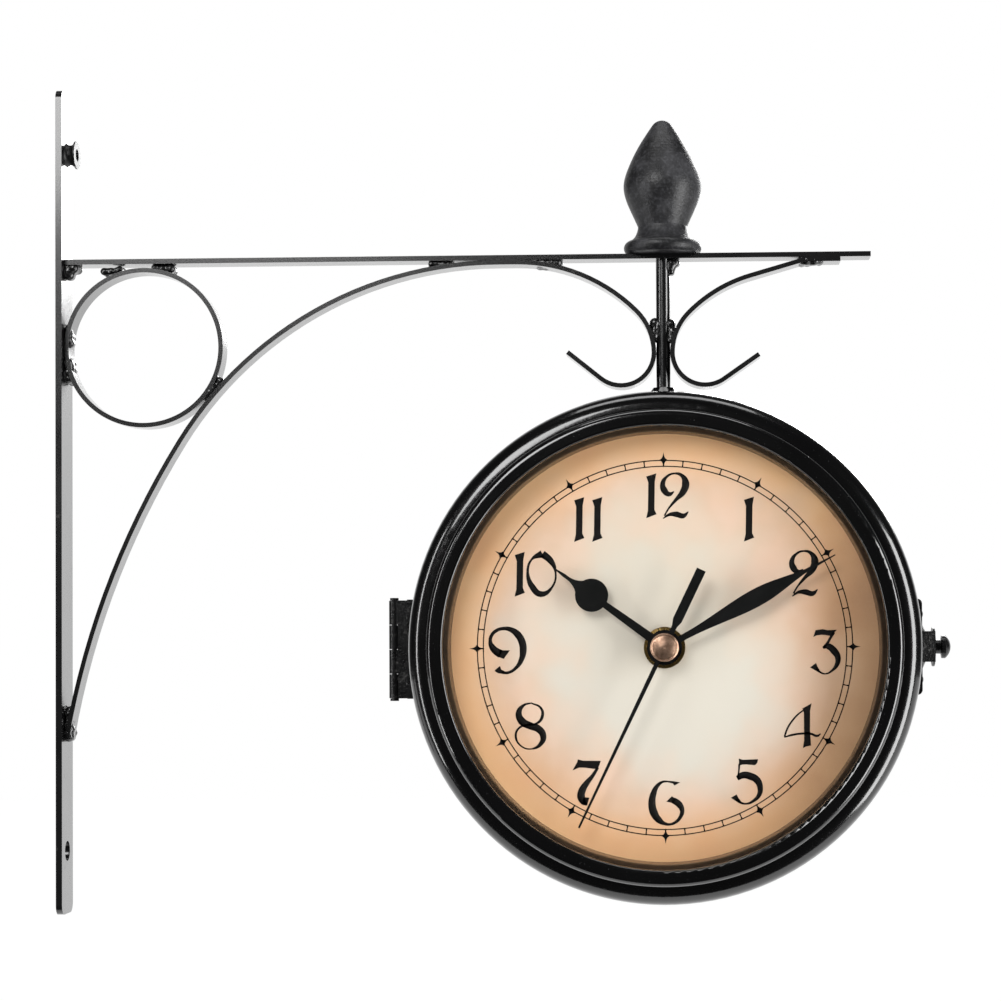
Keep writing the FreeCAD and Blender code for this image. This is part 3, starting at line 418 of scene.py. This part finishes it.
def zinc_plate():
    f = Finish("zinc_plate")
    bloom = f.cells(0.0016)
    cloud = f.noise(size=0.004, detail=4)
    return f.surface(
        base_color=f.blend(cloud.rise(0.3, 0.8), paint(186, 187, 184), paint(150, 148, 140)),
        metallic=1.0,
        roughness=0.24 + 0.22 * bloom + 0.12 * cloud,
        normal=f.bump(bloom + cloud, depth=0.00003),
    )


dress(
    zinc_plate(), "thrust_washer", "jam_nuts", "bush_nut", "front_dial_screws", "rear_dial_screws",
)

# ---- bezels and spacer rings ------------------------------------------------------------
# Moulded in black gloss plastic. The bezel snaps into the mouth of the case and the
# spacer's sloping wall stands between dial and glass, polished enough to mirror the dial.
bezel_gloss = black_enamel("bezel_gloss", pit=0.004, depth=0.00003, light=2)
dress(bezel_gloss, "front_bezel", "rear_bezel")


def spacer_plastic(side):
    """Polished where the wall meets the dial, and duller towards the glass."""
    low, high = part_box(side + "_spacer_ring")
    foot, rim = (high.y, low.y) if side == "front" else (low.y, high.y)
    f = Finish("spacer_plastic_" + side)
    _, depth, _ = f.axes()
    grain = f.noise(size=0.0009, detail=2)
    height = (depth - foot) / (rim - foot)
    return f.surface(
        base_color=f.blend(grain, paint(4, 4, 4), paint(14, 14, 14)),
        roughness=0.08 + 0.5 * height.rise(0.15, 0.6),
        specular_ior_level=0.12,
        coat_weight=0.9 - 0.9 * height.rise(0.25, 0.6),
        coat_roughness=0.04,
        normal=f.bump(grain, depth=0.00002),
    )


for side in ("front", "rear"):
    dress(spacer_plastic(side), side + "_spacer_ring")

# ---- glasses ----------------------------------------------------------------------------
# Flat clear glass, lightly tinted, with a trace of wiping marks. It is coated to mirror
# little. Light from the lamps, and light between the dial and the spacer, goes straight
# through it.
coated_index = 1.2


def window_glass():
    f = Finish("window_glass")
    wiped = f.noise(size=0.02, detail=4)
    clear = f.add("ShaderNodeBsdfPrincipled", {}, {
        "Base Color": (0.985, 0.99, 0.985, 1),
        "Roughness": 0.006 + 0.012 * wiped,
        "IOR": coated_index,
        "Transmission Weight": 1.0,
    })
    through = f.add("ShaderNodeBsdfTransparent", {}, {"Color": (0.97, 0.975, 0.97, 1)})
    share = 0.0
    for ray in ("Is Shadow Ray", "Is Diffuse Ray", "Is Glossy Ray"):
        share = f.add("ShaderNodeLightPath", output=ray) + share
    share = share.least(1.0)
    f.add_output(f.add("ShaderNodeMixShader", {}, {0: share, 1: clear, 2: through}))
    return f.material


dress(window_glass(), "front_glass", "rear_glass")

# ---- dials ------------------------------------------------------------------------------
# Printed paper on stiff board. The print gives an aged look: cream in the middle, peach
# and orange towards the edge, with soft blots and a fine fibre. Over it the colour turns
# darker and browner towards the right. The back of the board is bare.
dial_bodies = {"front": "front_half", "rear": "head"}
dial_back, dial_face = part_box("rear_dial")
dial_middle = dial_back.lerp(dial_face, 0.5)
peach_from = 0.024          # distances from the dial's middle, in metres
peach_full = 0.068
orange_from = 0.056
orange_full = 0.082
brown_from = 0.044          # and towards its right
brown_full = 0.088


def aged_print(side):
    turn = -1 if side == "rear" else 1
    f = Finish("aged_print_" + side, centre=(dial_middle.x, 0, dial_middle.z))
    across, depth, up = f.axes()
    across = across * turn
    printed = (depth * depth).rise(dial_back.y ** 2, dial_face.y ** 2)
    radius = (across * across + up * up) ** 0.5
    blots = f.noise(size=0.045, detail=3)
    small = f.noise(size=0.012, detail=4)
    fibre = f.noise(size=0.0007, detail=3)
    wander = (blots - 0.5) * 0.075 + (small - 0.5) * 0.016
    edge = (radius + wander).rise(peach_from, peach_full)
    rim = (radius + wander * 0.5).rise(orange_from, orange_full)
    # The colour turns darker and browner towards the right, and a little downwards.
    browner_right = (across * 0.97 - up * 0.14 + wander * 0.4).rise(brown_from, brown_full)
    lean = (up + wander).rise(-0.03, 0.07)
    centre = f.blend(lean, paint(223, 215, 203), paint(223, 210, 192))
    peach = f.blend(small.rise(0.3, 0.7), paint(228, 188, 158), paint(236, 200, 176))
    orange = f.blend(blots.rise(0.35, 0.65), paint(245, 192, 138), paint(240, 180, 130))
    base = f.blend(rim, f.blend(edge, centre, peach), orange)
    base = f.blend(browner_right * 0.92, base, paint(160, 118, 84))
    base = f.blend((fibre - 0.5) * 0.1 + 0.05, base, paint(250, 240, 220))
    board = f.blend(small, paint(186, 172, 150), paint(170, 156, 134))
    base = f.blend(printed, board, base)
    return f.surface(
        base_color=base,
        roughness=0.52 + 0.14 * small,
        specular_ior_level=0.3,
        normal=f.bump(fibre, depth=0.00002),
    )


for side in dial_bodies:
    dress(aged_print(side), side + "_dial")

# ---- print on the dials -----------------------------------------------------------------
# Black ink, screen printed on both dials: a railway minute track with a small star at every
# hour, and old-style numerals with swelling strokes. It is drawn flat in millimetres about
# the dial's middle, x to the right and y upwards.
ink_thickness = 0.05
track_sides = 180
track_inside = 70.0
track_outside = 72.3
track_line = 0.42
tick_width = 0.62
tick_waist = 0.62           # the middle's width, against the ends'
star_reach = 3.0
star_middle = 72.45
star_half_width = 1.6
star_sides = 16
star_waist = 0.62           # under 1 the sides are hollow
touching = 0.001            # points nearer than this are one


def printing_ink():
    f = Finish("printing_ink")
    cloud = f.noise(size=0.004, detail=4)
    worn = f.noise(size=0.0011, detail=3).rise(0.62, 0.74)
    black = f.blend(cloud, paint(8, 6, 5), paint(18, 14, 12))
    return f.surface(
        base_color=f.blend(worn * 0.3, black, paint(60, 46, 36)),
        roughness=0.5 + 0.2 * cloud,
        specular_ior_level=0.2,
        normal=f.bump(cloud, depth=0.00001),
    )


ink = printing_ink()


def join(parts, name):
    """Joins meshes into the first one, which takes the name."""
    bpy.ops.object.select_all(action="DESELECT")
    for part in parts:
        part.select_set(True)
    bpy.context.view_layer.objects.active = parts[0]
    bpy.ops.object.join()
    parts[0].name = name
    return parts[0]


def apply_modifiers(piece):
    bpy.ops.object.select_all(action="DESELECT")
    piece.select_set(True)
    bpy.context.view_layer.objects.active = piece
    for modifier in list(piece.modifiers):
        bpy.ops.object.modifier_apply(modifier=modifier.name)


def copy_of(piece, name, turn=Matrix.Identity(4)):
    """A copy with its own mesh."""
    twin = piece.copy()
    twin.data = piece.data.copy()
    twin.name = name
    twin.data.transform(turn)
    bpy.context.collection.objects.link(twin)
    return twin


def edit(piece):
    """Opens one piece alone in edit mode with everything on it selected."""
    bpy.ops.object.select_all(action="DESELECT")
    piece.select_set(True)
    bpy.context.view_layer.objects.active = piece
    bpy.ops.object.mode_set(mode="EDIT")
    bpy.ops.mesh.select_all(action="SELECT")


def flat_ring(radius, width):
    """A closed line of the track."""
    inside = radius - width / 2
    bpy.ops.mesh.primitive_circle_add(vertices=track_sides, radius=inside)
    ring = bpy.context.object
    edit(ring)
    bpy.ops.mesh.extrude_region_move()
    bpy.ops.transform.resize(value=[(inside + width) / inside] * 3, center_override=(0, 0, 0))
    bpy.ops.object.mode_set(mode="OBJECT")
    return ring


def minute_tick():
    """A bar across the track at twelve o'clock, a little heavier where it meets the lines."""
    length = track_outside - track_inside
    middle = (track_outside + track_inside) / 2
    bpy.ops.mesh.primitive_plane_add(size=1, location=(0, middle, 0))
    tick = bpy.context.object
    edit(tick)
    bpy.ops.transform.resize(value=(tick_width, length, 1))
    bpy.ops.mesh.subdivide(number_cuts=1)
    bpy.ops.object.mode_set(mode="OBJECT")
    tick.data.transform(tick.matrix_basis)
    tick.matrix_basis.identity()
    for vertex in tick.data.vertices:
        if abs(vertex.co.y - middle) < length / 4:
            vertex.co.x *= tick_waist
    return tick


def hour_star():
    """A slim four-pointed star that stands across the track."""
    bpy.ops.mesh.primitive_circle_add(vertices=star_sides, radius=1, fill_type="NGON")
    star = bpy.context.object
    for vertex in star.data.vertices:
        x, y = abs(vertex.co.x), abs(vertex.co.y)
        pull = (x ** star_waist + y ** star_waist) ** (-1 / star_waist)
        vertex.co *= pull
        vertex.co.x *= star_half_width
        vertex.co.y = vertex.co.y * star_reach + star_middle
    return star


def minute_track():
    parts = [flat_ring(track_inside, track_line), flat_ring(track_outside, track_line)]
    for shape, count in ((minute_tick(), 60), (hour_star(), 12)):
        for i in range(1, count):
            parts.append(copy_of(shape, "mark", Matrix.Rotation(math.tau * i / count, 4, "Z")))
        parts.append(shape)
    return join(parts, "minute_track")


pen_weight = 1.16           # the nib, against the half widths written below
stroke_steps = 5            # straight pieces from one point of a stroke to the next

# Strokes of the pen are (x, y, half width) and filled shapes are (x, y).
pen = {
    "0": [
        [(0.3, 7.7, 1.25), (3.4, 5.1, 1.05), (5.4, 0.5, 0.3), (4.0, -5.2, 0.35), (-0.3, -7.9, 1.0),
         (-3.4, -5.4, 1.05), (-5.4, 0.5, 0.45), (-3.8, 5.6, 0.35), (0.3, 7.7, 1.25)],
    ],
    "1": [
        [(-1.9, 7.5), (2.0, 8.7), (1.4, 5.5), (1.2, -5.3), (2.0, -7.1), (-2.0, -8.6), (-1.3, -5.7),
         (-1.1, 5.1)],
    ],
    "2": [
        [(-0.3, 1.6, 0.15), (-2.2, 0.6, 0.8), (-4.1, 2.2, 1.1), (-4.6, 4.8, 0.8), (-2.9, 7.5, 0.4),
         (-0.1, 8.6, 0.3), (2.7, 7.8, 0.6), (4.2, 4.8, 1.25), (3.2, 1.5, 1.1), (0.4, -1.6, 0.55),
         (-2.3, -4.8, 0.3), (-4.1, -7.7, 0.25)],
        [(-4.6, -8.8, 0.15), (-2.2, -7.3, 0.5), (0.6, -7.2, 0.95), (3.2, -7.8, 0.85),
         (5.2, -6.2, 0.15)],
    ],
    "3": [
        [(-4.6, 5.8), (-3.7, 8.4), (-1.0, 8.8), (0.9, 8.4), (4.5, 8.5), (2.2, 6.1), (0.0, 6.5),
         (-1.5, 6.6), (-3.2, 6.4)],
        [(-5.9, -5.9), (-3.6, -4.2), (-3.1, -5.5), (-1.9, -7.6), (-3.2, -7.5)],
        [(3.4, 7.6, 0.43), (2.1, 5.6, 0.43), (0.8, 3.4, 0.43), (-0.9, 1.6, 0.34)],
        [(-0.9, 1.6, 0.34), (0.9, 2.2, 1.03), (3.4, 0.3, 1.16), (4.8, -2.2, 0.95),
         (4.4, -4.8, 0.73), (2.6, -7.1, 0.39), (0.0, -8.4, 0.22), (-2.3, -7.6, 0.34),
         (-3.6, -6.2, 0.52)],
    ],
    "4": [
        [(0.7, 7.4), (4.3, 9.4), (3.7, 6.6), (3.6, -0.7), (3.9, -5.9), (4.0, -6.8), (2.0, -7.2),
         (0.8, -7.9), (1.3, -5.0), (1.3, 5.8)],
        [(1.4, 6.9, 0.22), (-0.8, 5.3, 0.26), (-3.2, 2.7, 0.3), (-5.1, -0.3, 0.3),
         (-6.2, -3.4, 0.3)],
        [(-6.3, -3.6, 0.22), (-3.6, -2.8, 0.34), (0.7, -2.2, 0.34), (3.8, -2.3, 0.39),
         (6.5, -3.1, 0.39), (7.6, -2.3, 0.17)],
    ],
    "5": [
        [(-2.4, 9.2), (-0.9, 8.7), (5.0, 8.9), (4.7, 7.5), (3.8, 6.6), (0.3, 6.9), (-1.2, 6.8),
         (-2.3, 6.5)],
        [(-5.6, -5.9), (-3.3, -4.6), (-2.7, -5.9), (-1.4, -7.6), (-3.0, -7.5)],
        [(-2.2, 7.1, 0.34), (-2.4, 4.5, 0.26), (-2.8, 1.5, 0.34)],
        [(-3.1, 1.6, 0.78), (-0.8, 2.8, 1.12), (2.2, 2.3, 1.21), (4.6, 0.8, 1.16),
         (5.7, -2.0, 0.95), (5.3, -4.8, 0.73), (3.1, -7.1, 0.47), (0.3, -8.2, 0.3),
         (-2.3, -7.5, 0.39), (-3.6, -6.4, 0.52)],
    ],
    "6": [
        [(0.3, 8.6), (2.8, 8.4), (5.6, 7.9), (3.4, 6.7), (2.8, 7.5), (0.5, 8.0)],
        [(0.2, 0.5), (2.4, 2.6), (3.9, 1.5), (2.8, 0.0)],
        [(0.8, 8.3, 0.26), (-1.2, 8.1, 0.39), (-3.2, 6.6, 0.65), (-4.7, 3.6, 0.99),
         (-5.3, 0.0, 1.21), (-4.6, -3.7, 1.34), (-2.7, -6.5, 1.08), (-0.5, -7.9, 0.56),
         (1.6, -8.2, 0.39), (3.9, -7.3, 0.47), (5.7, -5.2, 0.6), (6.3, -3.1, 0.73),
         (5.2, -0.6, 1.08), (2.8, 1.1, 1.03)],
    ],
    "7": [
        [(-5.9, 6.5), (-4.1, 9.7), (-3.9, 10.7), (-1.9, 10.2), (5.0, 10.1), (3.9, 7.1), (2.5, 7.0),
         (-1.5, 7.5), (-3.4, 7.5)],
        [(-1.7, -3.8), (0.5, -4.1), (-0.4, -7.1), (-2.3, -6.3)],
        [(3.8, 7.5, 0.43), (1.9, 4.5, 0.6), (-0.4, 1.7, 0.91), (-2.2, -1.1, 1.21),
         (-2.7, -3.7, 1.29), (-1.8, -5.8, 0.95), (-0.5, -6.8, 0.34)],
    ],
    "8": [
        [(0.7, 8.8, 0.22), (-2.1, 8.0, 0.43), (-4.1, 5.1, 0.99), (-3.0, 1.9, 1.29),
         (0.3, 0.0, 1.21), (3.5, -1.2, 1.21), (5.3, -3.9, 1.08), (4.4, -6.9, 0.69),
         (0.7, -8.9, 0.22), (-3.2, -7.8, 0.26), (-5.3, -4.1, 0.39), (-4.1, -0.9, 0.34),
         (-0.8, 0.4, 0.34), (2.8, 0.9, 0.39), (5.0, 3.6, 0.52), (4.4, 6.9, 0.39),
         (0.7, 8.8, 0.22)],
    ],
    "9": [
        [(1.5, 0.5), (-0.9, -2.8), (-3.0, -2.1), (-2.5, 0.5)],
        [(-4.6, -7.4), (-2.4, -5.5), (-1.9, -6.9), (-0.6, -7.6), (-0.8, -8.6), (-3.0, -8.4)],
        [(-2.1, -0.9, 1.38), (-3.8, 0.1, 1.25), (-5.3, 1.7, 1.03), (-6.1, 4.0, 0.6),
         (-5.5, 6.4, 0.56), (-3.6, 8.2, 0.56), (-1.1, 8.9, 0.56), (1.8, 8.5, 0.82),
         (4.5, 6.6, 1.16), (6.2, 3.6, 1.21), (6.6, 0.3, 1.16), (5.7, -3.6, 0.82),
         (3.6, -6.5, 0.52), (0.9, -8.1, 0.47), (-1.7, -8.1, 0.47)],
    ],
}

# Each figure and where its middle stands.
places = [
    ("1", -4.8, 58.6), ("2", 4.3, 58.6), ("1", 32.8, 49.3), ("2", 53.8, 28.3),
    ("3", 61.8, -2.0), ("4", 52.1, -31.1), ("5", 30.7, -52.0), ("6", 0.1, -59.8),
    ("7", -29.8, -53.6), ("8", -52.3, -29.9), ("9", -61.2, -1.2), ("1", -55.8, 28.6),
    ("0", -47.3, 28.8), ("1", -32.7, 49.6), ("1", -25.7, 49.6),
]


def pen_mark(points):
    """One mark of a numeral: a stroke swept with a flat nib, or a filled shape."""
    bpy.ops.curve.primitive_bezier_curve_add()
    mark = bpy.context.object
    line = mark.data.splines[0]
    line.bezier_points.add(len(points) - 2)
    swept = len(points[0]) == 3
    for knot, point in zip(line.bezier_points, points):
        knot.co = (point[0], point[1], 0)
        knot.radius = point[2] * pen_weight if swept else 1
        knot.handle_left_type = knot.handle_right_type = "AUTO" if swept else "VECTOR"
    if swept:
        mark.data.twist_mode = "Z_UP"
        mark.data.resolution_u = stroke_steps
        mark.data.bevel_mode = "OBJECT"
        mark.data.bevel_object = nib
    else:
        mark.data.dimensions = "2D"
        mark.data.fill_mode = "BOTH"
        mark.data.resolution_u = 1
        line.use_cyclic_u = True
    bpy.ops.object.convert(target="MESH")
    return mark


bpy.ops.object.select_all(action="DESELECT")
bpy.ops.curve.primitive_bezier_curve_add()
nib = bpy.context.object
for knot, x in zip(nib.data.splines[0].bezier_points, (-1, 1)):
    knot.co = (x, 0, 0)
    knot.handle_left_type = knot.handle_right_type = "VECTOR"
nib.data.resolution_u = 1
digits = {}
for digit, marks in pen.items():
    shapes = []
    for points in marks:
        bpy.ops.object.select_all(action="DESELECT")
        shapes.append(pen_mark(points))
    digits[digit] = join(shapes, "digit_" + digit)
bpy.data.objects.remove(nib)
figures = [copy_of(digits[d], "figure", Matrix.Translation((x, y, 0))) for d, x, y in places]
numerals = join(figures, "numerals")
for digit in digits.values():
    bpy.data.objects.remove(digit)


def onto_dial(piece, side):
    """Lays a flat print on a dial's face."""
    low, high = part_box(side + "_dial")
    middle = (low + high) / 2
    middle.y = low.y if side == "front" else high.y
    turn = math.pi if side == "rear" else 0
    piece.data.transform(
        Matrix.Translation(middle) @ Matrix.Rotation(turn, 4, "Z")
        @ Matrix.Rotation(math.pi / 2, 4, "X") @ Matrix.Scale(MM, 4)
    )


for print_work in (minute_track(), numerals):
    edit(print_work)
    bpy.ops.mesh.remove_doubles(threshold=touching)
    bpy.ops.mesh.normals_make_consistent(inside=False)
    bpy.ops.object.mode_set(mode="OBJECT")
    for face in print_work.data.polygons:
        if face.normal.z < 0:
            face.flip()
    coat = print_work.modifiers.new("coat", "SOLIDIFY")
    coat.thickness = ink_thickness
    coat.offset = 1
    apply_modifiers(print_work)
    print_work.data.materials.clear()
    print_work.data.materials.append(ink)
    for side, body in dial_bodies.items():
        twin = copy_of(print_work, side + "_" + print_work.name)
        onto_dial(twin, side)
        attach(twin, body)
    bpy.data.objects.remove(print_work)

# ---- hands ------------------------------------------------------------------------------
# Blanked from thin steel sheet and painted satin black, with edges a little burnished by
# the cutting. The minute hand's boss shows as a black ring round the cap.


def hand_paint():
    f = Finish("hand_paint")
    cloud = f.noise(size=0.008, detail=3)
    grain = f.noise(size=0.0005, detail=2)
    return f.surface(
        base_color=f.blend(cloud, paint(3, 3, 3), paint(10, 10, 11)),
        roughness=0.30 + 0.14 * cloud,
        specular_ior_level=0.35,
        normal=f.bump(grain, depth=0.00001),
    )


hand_black = hand_paint()
for side in dial_bodies:
    dress(hand_black, side + "_hour_hand", side + "_minute_hand", side + "_second_hand")

# ---- hubs -------------------------------------------------------------------------------
# The cap is spun copper with fine turning grooves, which draw the light out in spokes.
# The nut that holds the movement to the dial and the pipes behind the hands are brass.
copper_light = (206, 168, 144)
copper_dark = (160, 126, 106)
copper_pitch = 0.00055      # from groove to groove
brass_light = (206, 172, 104)
brass_dark = (160, 128, 74)
brass_pitch = 0.0004


def turned_metal(name, side, light, dark, pitch, rough):
    """Turned about the hands' axis with this pitch of groove, in metres."""
    low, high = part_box(side + "_hub_cap")
    f = Finish(name, centre=low.lerp(high, 0.5))
    across, _, up = f.axes()
    radius = (across * across + up * up) ** 0.5
    cloud = f.noise(size=0.0016, detail=4)
    groove = (radius * (math.tau / pitch) + cloud * 2).wave()
    return f.surface(
        base_color=f.blend(cloud.rise(0.3, 0.7), paint(*light), paint(*dark)),
        metallic=1.0,
        roughness=rough + 0.12 * cloud,
        normal=f.bump(groove + cloud, depth=0.000012),
    )


for side in dial_bodies:
    copper = turned_metal("spun_copper_" + side, side, copper_light, copper_dark, copper_pitch, 0.34)
    brass = turned_metal("turned_brass_" + side, side, brass_light, brass_dark, brass_pitch, 0.22)
    dress(copper, side + "_hub_cap")
    for part in ("_hub_nut", "_hour_pipe", "_minute_pipe", "_second_arbor"):
        dress(brass, side + part)

# ---- movements --------------------------------------------------------------------------
# A quartz movement behind each dial: black moulded box, one battery in a plain sleeve
# between two sprung nickel contacts, and a white knob that sets the hands.
sleeve_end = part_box("front_battery")[1].x - 6 * MM      # from here the cell's steel cap is bare
housing_plastic = moulded_black("movement_plastic", light=16, rough=0.40)
dress(housing_plastic, "front_movement_housing", "rear_movement_housing")


def battery_sleeve():
    f = Finish("battery_sleeve")
    across, _, _ = f.axes()
    scuff = f.noise(size=0.002, detail=5).rise(0.6, 0.72)
    cloud = f.noise(size=0.01, detail=2)
    bare = (across - sleeve_end).rise(-0.0002, 0.0002)
    sleeve = f.blend(bare, paint(40, 66, 96), paint(184, 186, 188))
    return f.surface(
        base_color=f.blend(scuff * 0.4, sleeve, paint(150, 152, 154)),
        metallic=0.2 + 0.7 * bare,
        roughness=0.3 + 0.2 * cloud + 0.2 * scuff,
        normal=f.bump(cloud, depth=0.00003),
    )


def nickel_plate():
    f = Finish("nickel_plate")
    cloud = f.noise(size=0.003, detail=4)
    return f.surface(
        base_color=f.blend(cloud, paint(196, 192, 182), paint(168, 164, 156)),
        metallic=1.0,
        roughness=0.2 + 0.2 * cloud,
        normal=f.bump(cloud, depth=0.00002),
    )


def knob_plastic():
    f = Finish("knob_plastic")
    cloud = f.noise(size=0.004, detail=3)
    grime = f.noise(size=0.0012, detail=4).rise(0.62, 0.75)
    white = f.blend(cloud, paint(232, 230, 224), paint(222, 219, 210))
    return f.surface(
        base_color=f.blend(grime * 0.5, white, paint(176, 170, 160)),
        roughness=0.38 + 0.15 * cloud,
        normal=f.bump(cloud, depth=0.00002),
    )


dress(battery_sleeve(), "front_battery", "rear_battery")
dress(nickel_plate(), "front_battery_contacts", "rear_battery_contacts")
dress(knob_plastic(), "front_setting_knob", "rear_setting_knob")

# ---- welds ------------------------------------------------------------------------------
# Short runs of arc weld, laid by hand where the bars meet and left unground, so each is a
# row of overlapping blobs with a little spatter. They take the bracket's black paint.
lump = 1.9                  # radius of a blob, in millimetres as all sizes here
lump_step = 1.5
most_sway = 0.35            # how far a blob strays from the run
most_swell = 0.22           # and how much larger or smaller it is than the others
across_bar = (-2.7, -0.2, 2.5)
across_rod = (-1.1, 1.0)
weld_grain = 0.42           # side of the little cubes that melt the blobs together
weld_smoothing = 8
weld_runs = [
    # middle x and z, half length along x and along z, places across the bar
    (21.5, 92.9, 3.2, 0.5, across_bar),       # ring to arm
    (42.0, 93.6, 3.2, -0.3, across_bar),
    (3.9, 52.9, 0.0, 3.4, across_bar),        # ring to plate
    (3.9, 67.4, 0.0, 3.4, across_bar),
    (62.6, 45.6, 2.4, 2.4, across_bar),       # ring to arch
    (60.8, 43.4, 1.2, 1.6, across_bar),
    (3.9, -88.5, 0.0, 5.6, across_bar),       # arch to plate
    (153.5, 94.2, 3.2, 0.0, across_bar),      # arch to arm
    (197.0, 94.2, 3.2, 0.0, across_bar),
    (301.5, 94.2, 3.2, 0.0, across_bar),      # front scroll to arm
    (239.2, 66.5, 0.0, 3.2, across_rod),      # loops to rod
    (245.8, 66.5, 0.0, 3.2, across_rod),
    (4.6, 94.1, 1.6, 0.0, across_bar),        # arm to plate
    (3.7, 92.6, 0.0, 1.2, across_bar),
    (246.4, 93.9, 1.2, 0.0, across_rod),      # rod to arm
    (245.5, 92.2, 0.0, 1.6, across_rod),
]

bpy.ops.object.select_all(action="DESELECT")
bpy.ops.mesh.primitive_ico_sphere_add(subdivisions=2, radius=lump)
blob = bpy.context.object
blobs = []
for x, z, half_x, half_z, places_across in weld_runs:
    steps = max(1, round(math.hypot(half_x, half_z) * 2 / lump_step))
    for i in range(steps + 1):
        share = 2 * i / steps - 1
        for y in places_across:
            # Each blob sits and swells a little differently. The two rates share no beat.
            sway = math.sin(7.1 * len(blobs)) * most_sway
            swell = 1 + most_swell * math.sin(4.3 * len(blobs) + y)
            place = Vector((x + half_x * share + sway, y + sway, z + half_z * share - abs(sway)))
            blobs.append(copy_of(blob, "blob", Matrix.Translation(place) @ Matrix.Scale(swell, 4)))
bpy.data.objects.remove(blob)
welds = join(blobs, "weld_lumps")
melt = welds.modifiers.new("melt", "REMESH")
melt.mode = "VOXEL"
melt.voxel_size = weld_grain
apply_modifiers(welds)
sag = welds.modifiers.new("sag", "SMOOTH")
sag.iterations = weld_smoothing
apply_modifiers(welds)
bpy.ops.object.shade_smooth()
welds.data.transform(Matrix.Scale(MM, 4))


def weld_paint():
    f = Finish("weld_paint")
    cloud = f.noise(size=0.003, detail=4)
    ripple = f.noise(size=0.0009, detail=3)
    return f.surface(
        base_color=f.blend(cloud, paint(4, 4, 4), paint(14, 14, 15)),
        roughness=0.22 + 0.2 * cloud,
        coat_weight=1.0,
        coat_roughness=0.1,
        normal=f.bump(ripple, depth=0.0003),
    )


welds.data.materials.clear()
welds.data.materials.append(weld_paint())
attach(welds, "bracket")
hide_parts("weld_beads")
